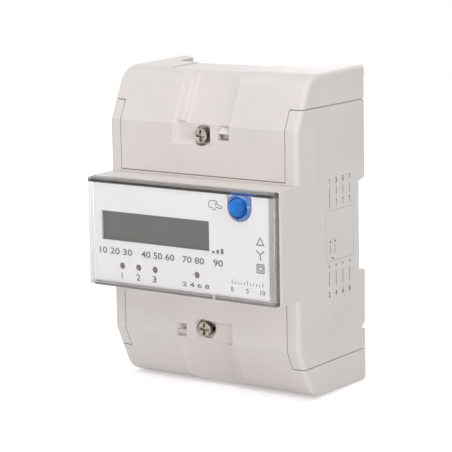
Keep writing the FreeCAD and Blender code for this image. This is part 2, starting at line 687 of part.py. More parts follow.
def rail_hooks(body):
    """Two fixed hooks that reach down behind the rail's upper flange."""
    front = size("rail_sheet") + size("rail_slack")
    rear = front + size("hook_thickness")
    tip = RAIL_HALF - size("hook_overlap")
    root = HALF_SLOT + size("slot_lead") + size("wall")
    bevel = size("hook_bevel")
    middle = HALF_WIDTH - size("hook_inset")
    for name, side in (("left", -1), ("right", 1)):
        hook = new_sketch(body, "rail_hook_" + name, "YZ_Plane",
                          middle * side - size("hook_width") / 2)
        add_outline(hook, [(front, tip), (rear - bevel, tip), (rear, tip + bevel), (rear, root),
                           (front, root)])
        pad(body, hook, size("hook_width"))


def clip_guide(body):
    """An undercut channel for the rail clip, and the lug that carries its spring."""
    gap = size("clip_gap")
    low = -(size("seam_height") + PAST)
    high = -(HALF_SLOT - PAST)
    neck = new_sketch(body, "clip_guide_neck", "XZ_Plane", -size("guide_front"))
    neck_half = CLIP_NECK / 2 + gap
    add_rectangle(neck, -neck_half, neck_half, low, high)
    pocket(body, neck, size("slot_depth"))
    flange = new_sketch(body, "clip_guide_flange", "XZ_Plane", -size("guide_front"))
    flange_half = size("clip_width") / 2 + gap
    add_rectangle(flange, -flange_half, flange_half, low, high)
    pocket(body, flange, size("clip_flange") + 2 * gap)
    lug = new_sketch(body, "spring_lug", "XZ_Plane", -size("guide_front"))
    add_rectangle(lug, -SPRING_REACH, SPRING_REACH, SPRING_BOTTOM - size("spring_lug"),
                  SPRING_BOTTOM)
    pad(body, lug, 2 * SPRING_REACH, backwards=True)


# Front housing
def front_housing():
    body = new_body("front_housing")
    half = size("seam_height")
    parting = size("parting_front")
    outline = new_sketch(body, "front_outline", "YZ_Plane")
    add_outline(outline, [
        (-parting, -half), (-SEAM_FRONT, -half), (-CASE_FRONT, -FOLD), (-CASE_FRONT, BULGE_BOTTOM),
        (-BULGE_FRONT, BULGE_BOTTOM), (-BULGE_FRONT, BULGE_TOP), (-CASE_FRONT, BULGE_TOP),
        (-CASE_FRONT, FOLD), (-SEAM_FRONT, half), (-parting, half)])
    pad(body, outline, size("case_width"), both_ways=True)

    def cheek_edge(edge):
        box = edge.BoundBox
        outside = close(abs(edge.CenterOfMass.x), HALF_WIDTH)
        forward = box.YMax < -float(SEAM_FRONT) + 0.01 and box.YMin > -float(CASE_FRONT) - 0.01
        return outside and forward and box.ZLength > 1.0

    round_edges(body, "cheek_rounding", size("edge_round"), cheek_edge)

    def bulge_edge(edge):
        at_front = close(edge.CenterOfMass.y, -float(BULGE_FRONT))
        return at_front and close(abs(edge.CenterOfMass.x), HALF_WIDTH) and runs_along(edge, 2)

    round_edges(body, "bulge_rounding", size("window_round"), bulge_edge)

    wells = new_sketch(body, "cover_wells", "XZ_Plane", CASE_FRONT + PAST)
    add_rectangle(wells, -CHEEK_INNER, CHEEK_INNER, WELL_EDGE, half + PAST)
    add_rectangle(wells, -CHEEK_INNER, CHEEK_INNER, -(half + PAST), -WELL_EDGE)
    pocket(body, wells, CASE_FRONT + PAST - DECK_FRONT)
    cavity = new_sketch(body, "bulge_cavity", "XZ_Plane", BULGE_WALL_BACK)
    room = HALF_WIDTH - size("wall")
    add_rectangle(cavity, -room, room, BULGE_BOTTOM + size("wall"), BULGE_TOP - size("wall"))
    pocket(body, cavity, BULGE_WALL_BACK - parting + PAST)

    label_platform(body)
    driver_holes(body)

    posts = new_sketch(body, "display_posts", "XZ_Plane", DISPLAY_BOARD_FRONT)
    four_circles(posts, DISPLAY_POST_X, DISPLAY_POST_Z, size("post_radius"))
    pad(body, posts, size("display_board_step"))
    pilots = new_sketch(body, "display_pilots", "XZ_Plane",
                        DISPLAY_BOARD_FRONT + size("board_screw_length"))
    four_circles(pilots, DISPLAY_POST_X, DISPLAY_POST_Z,
                 size("board_screw_radius") + size("thread_gap"))
    pocket(body, pilots, size("board_screw_length") + PAST)
    case_pilots = new_sketch(body, "case_pilots", "XZ_Plane", CASE_SCREW_END)
    four_circles(case_pilots, CASE_SCREW_X, CASE_SCREW_Z,
                 size("case_screw_radius") + size("thread_gap"))
    pocket(body, case_pilots, size("case_screw_grip") + PAST)
    return body


def label_platform(body):
    """The raised bed of the label plate, with the openings in the bulge's front."""
    platform = new_sketch(body, "label_platform", "XZ_Plane", BULGE_FRONT)
    half = LABEL_HALF - size("platform_step")
    add_rectangle(platform, -half, half, LABEL_BOTTOM, LABEL_TOP)
    pad(body, platform, size("platform_rise"))
    recess = tongue_outline(body, "button_recess", LABEL_BACK, TONGUE_ROOM, LABEL_TOP + PAST)
    pocket(body, recess, size("platform_rise"))
    round_edges(body, "recess_rounding", TONGUE_ROOM - size("thread_gap"),
                tongue_corner(TONGUE_ROOM))
    latch = new_sketch(body, "window_latch", "XZ_Plane", BULGE_FRONT)
    half_latch = size("latch_width") / 2
    add_rectangle(latch, size("latch_x") - half_latch, size("latch_x") + half_latch,
                  BULGE_BOTTOM + size("latch_step"), LABEL_BOTTOM)
    pad(body, latch, size("latch_height"))
    openings = new_sketch(body, "front_openings", "XZ_Plane", LABEL_BACK)
    room = 2 * size("lcd_slack")
    add_rectangle(openings, LCD_LEFT - room, LCD_RIGHT + room, LCD_LOW - room, LCD_HIGH + room)
    for x_at in lamp_positions():
        add_circle(openings, x_at, LAMP_Z, size("lamp_radius") + size("fit_gap"))
    add_circle(openings, BUTTON_X, BUTTON_Z, size("button_stem") + size("button_gap"))
    pocket(body, openings, LABEL_BACK - BULGE_WALL_BACK + PAST)


def driver_holes(body):
    """Holes in the deck over the screws of the terminals and covers."""
    holes = new_sketch(body, "driver_holes", "XZ_Plane", DECK_FRONT)
    extra = size("driver_hole_extra")
    for level in SIDES:
        for column in TERMINAL_COLUMNS:
            add_circle(holes, terminal_x(column), TERMINAL_SCREW_Z * level,
                       size("terminal_screw_head") + extra)
        add_circle(holes, 0, SEAL_Z * level, size("seal_shank_radius") + extra)
    for side in SIDES:
        add_circle(holes, TERMINAL_PITCH * side, -AUX_SCREW_Z, size("aux_head") + size("fit_gap"))
    pocket(body, holes, size("deck_wall") + PAST)


# Terminal covers
def cover_profile(offset, top_offset):
    """Front, fold and apex of the cover's section, moved inwards at the front and the top."""
    wall_front = CASE_FRONT - offset
    fold = FOLD - offset * tangent(size("lean_angle") / 2)
    top = COVER_TOP - top_offset
    apex_front = wall_front - (top - fold) * LEAN
    return wall_front, fold, apex_front, top, top + size("rear_rise")


def terminal_cover(label, turned):
    """A U-shaped cover; the lower one is the same moulding turned upside down."""
    body = new_body(label)
    prefix = label.split("_")[0]
    foot = WELL_EDGE + size("seam_gap")
    seam = size("seam_height") + size("seam_gap")
    nothing = size("cover_wall") * 0
    front, fold, apex_front, top, top_rear = cover_profile(nothing, nothing)
    deck = DECK_FRONT + size("seam_gap")
    outline = new_sketch(body, prefix + "_outline", "YZ_Plane")
    add_outline(outline, [(-front, foot), (-front, fold), (-apex_front, top), (-REAR, top_rear),
                          (-REAR, seam), (-deck, seam), (-deck, foot)])
    pad(body, outline, size("case_width"), both_ways=True)

    def top_corner(edge):
        return runs_along(edge, 0) and close(edge.CenterOfMass.y, -float(apex_front))

    round_edges(body, prefix + "_corner", size("corner_radius"), top_corner)

    sides = new_sketch(body, prefix + "_sides", "XZ_Plane", front + PAST)
    tongue = CHEEK_INNER - size("seam_gap")
    add_rectangle(sides, tongue, HALF_WIDTH + PAST, foot - PAST, seam)
    add_rectangle(sides, -(HALF_WIDTH + PAST), -tongue, foot - PAST, seam)
    pocket(body, sides, front + PAST - DECK_FRONT)

    def outer_edge(edge):
        box = edge.BoundBox
        outside = close(box.XMax, box.XMin) and close(abs(box.XMax), HALF_WIDTH)
        return outside and box.ZMax > float(seam) + 0.1 and box.YMin < -float(REAR) - 0.1

    round_edges(body, prefix + "_rounding", size("edge_round"), outer_edge)

    cover_hollow(body, prefix, tongue, foot, seam)
    cover_mouth(body, prefix, seam, apex_front, top)
    cover_channel(body, prefix, front, fold)
    cover_seal(body, prefix, front, deck)
    if turned:
        body.Placement = FreeCAD.Placement(FreeCAD.Vector(),
                                           FreeCAD.Rotation(FreeCAD.Vector(0, 1, 0), 180))
    return body


def cover_hollow(body, prefix, tongue, foot, seam):
    """Hollows the cover, with a thicker front behind the channel."""
    wall = size("cover_wall")
    thick = size("channel_depth") + wall
    middle = size("channel_half") + wall
    narrow = tongue - wall
    full = HALF_WIDTH - wall
    low_inside = foot + wall
    pieces = [("hollow_left", wall, -narrow, -middle, low_inside),
              ("hollow_middle", thick, -middle, middle, low_inside),
              ("hollow_right", wall, middle, narrow, low_inside),
              ("wide_left", wall, -full, -narrow, seam), ("wide_right", wall, narrow, full, seam)]
    for name, offset, left, right, low in pieces:
        front, fold, apex_front, top, top_rear = cover_profile(offset, wall)
        sketch = new_sketch(body, f"{prefix}_{name}", "YZ_Plane", left)
        if low is seam:
            points = [(-(front - (low - fold) * LEAN), low)]
        else:
            points = [(-front, low), (-front, fold)]
        points += [(-apex_front, top), (-REAR + PAST, top_rear), (-REAR + PAST, low)]
        add_outline(sketch, points)
        pocket(body, sketch, right - left, forwards=True)
    inner_top = cover_profile(wall, wall)[3]

    def inner_corner(edge):
        forward = edge.CenterOfMass.y < -float(size("mouth_depth"))
        return runs_along(edge, 0) and forward and close(edge.CenterOfMass.z, inner_top)

    round_edges(body, prefix + "_inner_corner", size("corner_radius") - wall, inner_corner)


def cover_mouth(body, prefix, seam, apex_front, top):
    """The cable opening in the cover's top, and the shallow recess before it."""
    half = HALF_WIDTH - size("mouth_inset")
    front = -REAR - size("mouth_depth")
    flare_start = -REAR - size("flare_depth")
    flare_half = half + size("mouth_draft")
    rear_half = HALF_WIDTH - size("flare_inset")
    past_half = rear_half + (rear_half - flare_half) / size("flare_depth") * PAST
    mouth = new_sketch(body, prefix + "_mouth", "XY_Plane", seam)
    add_outline(mouth, [(-half, front), (half, front), (flare_half, flare_start),
                        (past_half, -REAR + PAST), (-past_half, -REAR + PAST),
                        (-flare_half, flare_start)])
    pocket(body, mouth, COVER_TOP, forwards=True)

    def mouth_corner(edge):
        at_side = close(abs(edge.CenterOfMass.x), half)
        return at_side and close(edge.CenterOfMass.y, front) and runs_along(edge, 2)

    round_edges(body, prefix + "_mouth_rounding", size("mouth_round"), mouth_corner)

    recess = new_sketch(body, prefix + "_recess", "YZ_Plane", -size("recess_left"))
    slope = size("rear_rise") / (apex_front - REAR)
    start_level = top - size("top_recess")
    end_level = start_level + slope * (front + PAST + apex_front)
    add_outline(recess, [(-apex_front, start_level), (front + PAST, end_level),
                         (front + PAST, end_level + PAST), (-apex_front, start_level + PAST)])
    pocket(body, recess, size("recess_left") + size("recess_right"), forwards=True)


def channel_section(front):
    """Corners of the channel's level section, with the place and radius of its curved side."""
    slant = secant(size("lean_angle"))
    wide = size("channel_half")
    run = size("channel_step")
    depth = size("channel_depth")
    floor_y = -front + depth * slant
    curve_start = (wide - run, -front + size("channel_rim") * slant)
    outer_ledge = -wide + run
    inner_ledge = outer_ledge + size("channel_ledge") + run
    first_y = -front + depth / 3 * slant
    second_y = -front + depth * 2 / 3 * slant
    points = [(wide, -front - PAST), (wide, -front), curve_start, (size("channel_sweep"), floor_y),
              (inner_ledge + size("channel_inner_ledge") + run, floor_y),
              (inner_ledge + size("channel_inner_ledge"), second_y), (inner_ledge, second_y),
              (inner_ledge - run, first_y), (outer_ledge, first_y), (-wide, -front),
              (-wide, -front - PAST)]
    across = curve_start[0] - size("channel_sweep")
    rise = floor_y - curve_start[1]
    return points, points.index(curve_start), (across * across + rise * rise) / (2 * rise)


def cover_channel(body, prefix, front, fold):
    """A channel that climbs the leaning front, stepped on one side and swept on the other."""
    depth = size("channel_depth")
    channel = new_sketch(body, prefix + "_channel", "XY_Plane", fold)
    points, curved_side, sweep_radius = channel_section(front)
    add_outline(channel, points, curved_side, sweep_radius)
    before = volume_of(body)
    cut = body.newObject("PartDesign::Pocket", prefix + "_channel_cut")
    cut.Profile = channel
    cut.UseCustomVector = True
    cut.AlongSketchNormal = True
    tie(cut, "Direction.x", 0)
    tie(cut, "Direction.y", LEAN)
    tie(cut, "Direction.z", 1)
    tie(cut, "Length", COVER_TOP)
    doc.recompute()
    if cut.Shape.Volume >= before:
        raise RuntimeError(f"{body.Label}: the channel cuts nothing")
    foot = new_sketch(body, prefix + "_channel_foot", "XZ_Plane", front)
    add_rectangle(foot, -size("channel_half"), size("seal_x_reach"),
                  fold - size("channel_foot_drop"), fold + depth)
    pocket(body, foot, depth, taper=-size("foot_taper"))


def cover_seal(body, prefix, front, deck):
    """Seat of the drilled screw, and the block with the slot for a seal's wire."""
    radius = size("seal_head_radius") + size("seal_room")
    seat_front = front - size("seal_head_length")
    boss = new_sketch(body, prefix + "_screw_boss", "XZ_Plane", deck)
    add_circle(boss, 0, SEAL_Z, radius + size("cover_wall") / 2)
    pad(body, boss, seat_front - deck)
    seat = new_sketch(body, prefix + "_screw_seat", "XZ_Plane", front)
    add_circle(seat, 0, SEAL_Z, radius)
    pocket(body, seat, size("seal_head_length"))
    bore = new_sketch(body, prefix + "_screw_bore", "XZ_Plane", front)
    add_circle(bore, 0, SEAL_Z, size("seal_shank_radius") + size("screw_gap"))
    pocket(body, bore, front)

    start = size("wire_slot_start")
    end = size("channel_half")
    half_slot = size("wire_slot_half")
    slot = new_sketch(body, prefix + "_wire_slot", "XZ_Plane", front)
    add_rectangle(slot, start, (start + end) / 2, SEAL_Z - half_slot, SEAL_Z + half_slot)
    pocket(body, slot, size("wire_slot_depth"))
    ramp = new_sketch(body, prefix + "_wire_ramp", "XY_Plane", SEAL_Z - half_slot)
    add_outline(ramp, [(start, -front), (end, -front),
                       ((start + end) / 2, -front + size("wire_slot_depth")),
                       (start, -front + size("wire_slot_depth"))])
    pocket(body, ramp, 2 * half_slot, forwards=True)
    tunnel = new_sketch(body, prefix + "_wire_hole", "YZ_Plane", size("seal_x_reach") - PAST)
    add_circle(tunnel, -SEAL_HOLE_FRONT, SEAL_Z, size("seal_hole_radius"))
    pocket(body, tunnel, start - size("seal_x_reach") + 2 * PAST, forwards=True)
    slot_top = SEAL_Z + half_slot
    hood = new_sketch(body, prefix + "_wire_hood", "YZ_Plane", start)
    add_outline(hood, [(-front - PAST, slot_top), (-front, slot_top),
                       (-front + size("channel_depth"), FOLD), (-front - PAST, FOLD)])
    pocket(body, hood, end - start, forwards=True)


# Cover screws and their inserts
def cover_screw(label, level):
    """A sealing screw: tall drilled head with crossed slots, and a shank to the insert."""
    z_at = SEAL_Z * level
    length = size("seal_head_length")
    radius = size("seal_head_radius")
    back = CASE_FRONT - length
    head = rod(label + "_head", "forward", radius, 0, back, z_at, length)
    shank = rod(label + "_shank", "forward", size("seal_shank_radius"), 0, SEAL_END, z_at,
                back - SEAL_END)
    half_cut = size("slot_cut") / 2
    reach = radius - size("slot_margin")
    fronts = (CASE_FRONT - size("seal_cross_depth"), CASE_FRONT + PAST)
    upright = block(label + "_slot_up", (-half_cut, half_cut), fronts, (z_at - reach, z_at + reach))
    level_slot = block(label + "_slot_level", (-reach, reach), fronts,
                       (z_at - half_cut, z_at + half_cut))
    wire = rod(label + "_wire_hole", "right", size("seal_hole_radius"), -radius - PAST,
               SEAL_HOLE_FRONT, z_at, radius * 2 + 2 * PAST)
    whole = fused(label + "_solid", [head, shank])
    return keep(minus(label, whole, [upright, level_slot, wire]), label)


def threaded_inserts():
    tubes = []
    for name, level in (("insert_bottom", -1), ("insert_top", 1)):
        tube = rod(name + "_outside", "forward", size("insert_radius"), 0, SEAL_END,
                   SEAL_Z * level, size("insert_length"))
        bore = rod(name + "_bore", "forward", size("seal_shank_radius") + size("thread_gap"), 0,
                   SEAL_END - PAST, SEAL_Z * level, size("insert_length") + 2 * PAST)
        tubes.append(minus(name, tube, [bore]))
    return keep(grouped("threaded_inserts", tubes), "threaded_inserts")


# Terminals
def mirrored(level, low, high):
    """The same stretch of height above the middle, or turned below it."""
    return (low, high) if level > 0 else (-high, -low)


def terminal_block(label, level):
    """Insulating moulding with a chamber for each cage, its cable mouth and driver hole."""
    gap = size("fit_gap")
    outer = size("seam_height")
    back = BASE_FLOOR + gap / 2
    front = size("parting_front") - gap / 2
    solid = block(label + "_solid", (-BLOCK_HALF, BLOCK_HALF), (back, front),
                  mirrored(level, BLOCK_INNER, outer))
    cage_half = CAGE_HALF + gap
    strap_half = size("strap_width") / 2 + gap
    chamber_low = CAGE_INNER - gap - size("strap_thickness")
    tools = []
    for number, column in enumerate(TERMINAL_COLUMNS, 1):
        x_at = terminal_x(column)
        name = f"{label}_{number}"
        tools.append(block(name + "_chamber", (x_at - cage_half, x_at + cage_half),
                           (back - PAST, CAGE_FRONT + gap),
                           mirrored(level, chamber_low, CAGE_OUTER + gap)))
        start = CAGE_OUTER - PAST if level > 0 else -(outer + PAST)
        tools.append(rod(name + "_mouth", "up", size("cable_radius") + size("mouth_extra"),
                         x_at, CABLE_FRONT, start, size("mouth_wall") + 2 * PAST))
        tools.append(rod(name + "_driver", "forward",
                         size("terminal_screw_head") + size("driver_hole_extra"), x_at,
                         CAGE_FRONT, TERMINAL_SCREW_Z * level, front - CAGE_FRONT + PAST))
        tools.append(block(name + "_strap_way", (x_at - strap_half, x_at + strap_half),
                           (back - PAST, CAGE_REAR + size("strap_thickness") + gap),
                           mirrored(level, BLOCK_INNER - PAST, chamber_low + PAST)))
    tools.append(rod(label + "_insert", "forward", size("insert_radius") + gap / 2, 0,
                     SEAL_END - gap, SEAL_Z * level, size("insert_length") + PAST))
    tools.append(rod(label + "_screw_room", "forward", size("seal_shank_radius") + size("screw_gap"),
                     0, SEAL_END - PAST, SEAL_Z * level, size("insert_length")))
    if level < 0:
        tools += pulse_terminal_rooms(label)
    return keep(minus(label, solid, tools), label)


def pulse_terminal_rooms(label):
    """Rooms of the two pulse terminals between the main ones."""
    gap = size("fit_gap") / 2
    half = size("aux_width") / 2 + gap
    deep = size("aux_depth") / 2 + gap
    tools = []
    for number, side in enumerate(SIDES, 1):
        x_at = TERMINAL_PITCH * side
        name = f"{label}_aux_{number}"
        tools.append(block(name + "_room", (x_at - half, x_at + half),
                           (AUX_FRONT - deep, AUX_FRONT + deep),
                           (-CAGE_OUTER - gap, -CAGE_OUTER + size("aux_height") + gap)))
        tools.append(rod(name + "_mouth", "up", size("aux_radius") + size("screw_gap"), x_at,
                         AUX_FRONT, -size("seam_height") - PAST, size("mouth_wall") + 2 * PAST))
        tools.append(rod(name + "_driver", "forward", size("aux_head") + size("fit_gap"), x_at,
                         AUX_FRONT, -AUX_SCREW_Z, size("parting_front")))
    return tools


def terminal_cage(label, column, level):
    """A plated cage: a block with a blind cable bore and a threaded hole for its screw."""
    x_at = terminal_x(column)
    solid = block(label + "_solid", (x_at - CAGE_HALF, x_at + CAGE_HALF), (CAGE_REAR, CAGE_FRONT),
                  mirrored(level, CAGE_INNER, CAGE_OUTER))
    start = CAGE_INNER + size("cage_floor") if level > 0 else -(CAGE_OUTER + PAST)
    bore = rod(label + "_bore", "up", size("cable_radius"), x_at, CABLE_FRONT, start,
               size("cage_height") - size("cage_floor") + PAST)
    thread = rod(label + "_thread", "forward", size("terminal_screw_radius") + size("thread_gap"),
                 x_at, CABLE_FRONT, TERMINAL_SCREW_Z * level, CAGE_FRONT)
    return keep(minus(label, solid, [bore, thread]), label)


def slotted_screw(name, radius, head_radius, x_at, z_at, tip_front, head_back, head_front):
    """A screw along Y with a plain slot across its head."""
    shank = rod(name + "_shank", "forward", radius, x_at, tip_front, z_at, head_back - tip_front)
    head = rod(name + "_head", "forward", head_radius, x_at, head_back, z_at,
               head_front - head_back)
    half_cut = size("slot_cut") / 2
    slot = block(name + "_slot", (x_at - head_radius - PAST, x_at + head_radius + PAST),
                 (head_front - size("slot_cut"), head_front + PAST),
                 (z_at - half_cut, z_at + half_cut))
    return minus(name, fused(name + "_solid", [shank, head]), [slot])


def terminal_screws():
    screws = []
    for side, level in (("bottom", -1), ("top", 1)):
        for number, column in enumerate(TERMINAL_COLUMNS, 1):
            screws.append(slotted_screw(
                f"main_screw_{side}_{number}", size("terminal_screw_radius"),
                size("terminal_screw_head"), terminal_x(column), TERMINAL_SCREW_Z * level,
                CABLE_FRONT + size("cable_radius"),
                TERMINAL_SCREW_FRONT - size("terminal_head_height"), TERMINAL_SCREW_FRONT))
    return keep(grouped("terminal_screws", screws), "terminal_screws")


def pulse_terminal(label, side):
    x_at = TERMINAL_PITCH * side
    half = size("aux_width") / 2
    deep = size("aux_depth") / 2
    solid = block(label + "_solid", (x_at - half, x_at + half), (AUX_FRONT - deep, AUX_FRONT + deep),
                  (-CAGE_OUTER, -CAGE_OUTER + size("aux_height")))
    bore = rod(label + "_bore", "up", size("aux_radius"), x_at, AUX_FRONT, -CAGE_OUTER - PAST,
               size("aux_height") - size("aux_floor") + PAST)
    thread = rod(label + "_thread", "forward", size("aux_screw_radius") + size("thread_gap"),
                 x_at, AUX_FRONT, -AUX_SCREW_Z, size("aux_depth"))
    return keep(minus(label, solid, [bore, thread]), label)


def pulse_terminal_screws():
    screws = []
    head_back = AUX_FRONT + size("aux_depth") / 2 + size("screw_gap")
    for number, side in enumerate(SIDES, 1):
        screws.append(slotted_screw(
            f"pulse_screw_{number}", size("aux_screw_radius"), size("aux_head"),
            TERMINAL_PITCH * side, -AUX_SCREW_Z, AUX_FRONT + size("aux_radius"), head_back,
            head_back + size("aux_head_height")))
    return keep(grouped("pulse_terminal_screws", screws), "pulse_terminal_screws")


def current_strap(label, column, waisted):
    """A copper strap from the upper to the lower cage; a waist is its resistance strip."""
    x_at = terminal_x(column)
    half = size("strap_width") / 2
    thick = size("strap_thickness")
    leg = block(label + "_leg", (x_at - half, x_at + half), (CAGE_REAR, CAGE_REAR + thick),
                (-CAGE_INNER, CAGE_INNER))
    tabs = []
    for name, level in (("bottom", -1), ("top", 1)):
        tabs.append(block(f"{label}_tab_{name}", (x_at - half, x_at + half),
                          (CAGE_REAR, CAGE_REAR + size("strap_tab")),
                          mirrored(level, CAGE_INNER - thick, CAGE_INNER)))
    whole = fused(label + "_solid", [leg] + tabs)
    if not waisted:
        return keep(whole, label)
    waist = size("strap_waist") / 2
    long = size("waist_length") / 2
    cuts = []
    for name, start, end in (("left", -half - PAST, -waist), ("right", waist, half + PAST)):
        cuts.append(block(f"{label}_waist_{name}", (x_at + start, x_at + end),
                          (CAGE_REAR - PAST, CAGE_REAR + thick + PAST), (-long, long)))
    return keep(minus(label, whole, cuts), label)


# Rail clip and its spring
def rail_clip():
    body = new_body("rail_clip")
    gap = size("clip_gap")
    seam = -size("seam_height")
    rear = size("slot_depth") - gap
    thickness = rear + CLIP_FRONT
    flange = new_sketch(body, "clip_flanges", "XZ_Plane", CLIP_FRONT)
    add_rectangle(flange, -size("clip_width") / 2, size("clip_width") / 2, seam, CLIP_TOP)
    pad(body, flange, size("clip_flange"), backwards=True)
    neck = new_sketch(body, "clip_body", "XZ_Plane", CLIP_FRONT)
    add_rectangle(neck, -CLIP_NECK / 2, CLIP_NECK / 2, seam, CLIP_TOP)
    pad(body, neck, thickness, backwards=True)
    tail = new_sketch(body, "clip_tail_plate", "XZ_Plane", CLIP_FRONT)
    add_rectangle(tail, -size("tail_width") / 2, size("tail_width") / 2, CLIP_TAIL, seam + PAST)
    pad(body, tail, thickness, backwards=True)
    tooth_front = size("rail_sheet") + size("rail_slack")
    tooth_top = -(RAIL_HALF - size("hook_overlap"))
    bevel = size("hook_bevel")
    tooth = new_sketch(body, "clip_tooth", "YZ_Plane")
    add_outline(tooth, [(tooth_front, CLIP_TOP - PAST), (tooth_front, tooth_top),
                        (tooth_front + bevel, tooth_top), (rear, tooth_top - 2 * bevel),
                        (rear, CLIP_TOP - PAST)])
    pad(body, tooth, CLIP_NECK, both_ways=True)
    room = new_sketch(body, "spring_room", "XZ_Plane", CLIP_FRONT)
    room_half = SPRING_REACH + 3 * gap
    add_rectangle(room, -room_half, room_half, SPRING_BOTTOM - size("spring_lug") - gap,
                  SPRING_TOP)
    pocket(body, room, rear)
    slot = new_sketch(body, "driver_slot", "XZ_Plane", CLIP_FRONT)
    slot_low = CLIP_TAIL + size("tail_slot_height")
    add_rectangle(slot, -size("tail_slot_width") / 2, size("tail_slot_width") / 2, slot_low,
                  slot_low + size("tail_slot_height"))
    pocket(body, slot, rear)

    def tail_corner(edge):
        return close(edge.CenterOfMass.z, CLIP_TAIL) and runs_along(edge, 1)

    round_edges(body, "tail_rounding", size("edge_round"), tail_corner)
    return body


def clip_spring():
    """A coil between the base's lug and the upper end of the clip's window."""
    wire = float(size("spring_wire"))
    radius = float(SPRING_REACH) - wire
    height = float(size("spring_length")) - 2 * wire
    helix = Part.makeHelix(float(size("spring_pitch")), height, radius)
    section = Part.Wire(Part.makeCircle(wire, FreeCAD.Vector(radius, 0, 0),
                                        FreeCAD.Vector(0, 1, 0)))
    spring = doc.addObject("Part::Feature", "clip_spring")
    spring.Shape = Part.Wire(helix).makePipeShell([section], True, True)
    middle = float(size("guide_front")) + float(SPRING_REACH) + float(size("fit_gap"))
    spring.Placement = FreeCAD.Placement(
        FreeCAD.Vector(0, middle, float(SPRING_BOTTOM) + wire), FreeCAD.Rotation())
    return keep(spring, "clip_spring")


# Case and board screws
def case_screws():
    screws = []
    seat = -size("case_screw_seat")
    back = seat - size("head_height")
    half_cut = size("slot_cut") / 2
    reach = size("case_screw_head") - size("slot_margin")
    for number, (side, level) in enumerate(CORNERS, 1):
        x_at = CASE_SCREW_X * side
        z_at = CASE_SCREW_Z * level
        name = f"case_screw_{number}"
        head = rod(name + "_head", "forward", size("case_screw_head"), x_at, back, z_at,
                   size("head_height"))
        shank = rod(name + "_shank", "forward", size("case_screw_radius"), x_at, seat, z_at,
                    CASE_SCREW_END - size("fit_gap") - seat)
        fronts = (back - PAST, back + size("slot_cut"))
        cross = [block(name + "_cross_up", (x_at - half_cut, x_at + half_cut), fronts,
                       (z_at - reach, z_at + reach)),
                 block(name + "_cross_level", (x_at - reach, x_at + reach), fronts,
                       (z_at - half_cut, z_at + half_cut))]
        screws.append(minus(name, fused(name + "_solid", [head, shank]), cross))
    return keep(grouped("case_screws", screws), "case_screws")


def board_screws(label, x_at, z_at, head_start, shank_start, length):
    """Four pan-headed screws through a board."""
    screws = []
    for number, (side, level) in enumerate(CORNERS, 1):
        name = f"{label}_{number}"
        head = rod(name + "_head", "forward", size("board_screw_head"), x_at * side, head_start,
                   z_at * level, size("board_head_height"))
        shank = rod(name + "_shank", "forward", size("board_screw_radius"), x_at * side,
                    shank_start, z_at * level, length)
        screws.append(fused(name, [head, shank]))
    return keep(grouped(label, screws), label)


# Circuit boards and what stands on them
def circuit_board(label, half, tall, back, post_x, post_z):
    board = block(label + "_sheet", (-half, half), (back, back + size("board_sheet")),
                  (-tall, tall))
    holes = []
    for number, (side, level) in enumerate(CORNERS, 1):
        holes.append(rod(f"{label}_hole_{number}", "forward",
                         size("board_screw_radius") + size("fit_gap"), post_x * side, back - PAST,
                         post_z * level, size("board_sheet") + 2 * PAST))
    return keep(minus(label, board, holes), label)


def on_board(label, x_share, z_share, width, tall, depth):
    """A block-shaped component on the main board, placed by shares of the board's halves."""
    x_at = MAIN_BOARD_HALF * x_share
    z_at = MAIN_BOARD_TALL * z_share
    item = block(label, (x_at - width / 2, x_at + width / 2),
                 (MAIN_BOARD_FRONT, MAIN_BOARD_FRONT + depth), (z_at - tall / 2, z_at + tall / 2))
    return keep(item, label)


def supply_capacitor():
    can = rod("capacitor_can", "forward", size("can_radius"), MAIN_BOARD_HALF * -0.32,
              MAIN_BOARD_FRONT, MAIN_BOARD_TALL * -0.52, size("can_length"))
    return keep(can, "supply_capacitor")


def varistors():
    discs = []
    for number, share in enumerate((0.1, 0.32, 0.54), 1):
        discs.append(rod(f"varistor_{number}", "right", size("disc_radius"),
                         MAIN_BOARD_HALF * share, MAIN_BOARD_FRONT + size("disc_radius"),
                         MAIN_BOARD_TALL * 0.55, size("disc_sheet")))
    return keep(grouped("varistors", discs), "varistors")


def board_link():
    """Pin header and socket stack that joins the two boards."""
    left = MAIN_BOARD_HALF * -0.545 - size("link_length") / 2
    x_range = (left, left + size("link_length"))
    z_at = MAIN_BOARD_TALL * 0.3
    z_range = (z_at - size("link_width") / 2, z_at + size("link_width") / 2)
    socket_front = MAIN_BOARD_FRONT + size("link_socket")
    half_pin = size("link_pin") / 2
    pieces = [block("link_socket", x_range, (MAIN_BOARD_FRONT, socket_front), z_range),
              block("link_header", x_range,
                    (DISPLAY_BOARD_BACK - size("link_header"), DISPLAY_BOARD_BACK), z_range)]
    for number in range(6):
        x_at = left + size("link_length") / 2 + size("link_pitch") * (number - 2.5)
        pieces.append(block(f"link_pin_{number + 1}", (x_at - half_pin, x_at + half_pin),
                            (socket_front - half_pin, DISPLAY_BOARD_BACK),
                            (z_at - half_pin, z_at + half_pin)))
    return keep(fused("board_link", pieces), "board_link")


# Display and lamps
def display_glass():
    slack = size("lcd_slack")
    return keep(block("display_glass", (LCD_LEFT - slack, LCD_RIGHT + slack),
                      (LCD_FRONT - size("lcd_sheet"), LCD_FRONT),
                      (LCD_LOW - slack, LCD_HIGH + slack)), "display_glass")


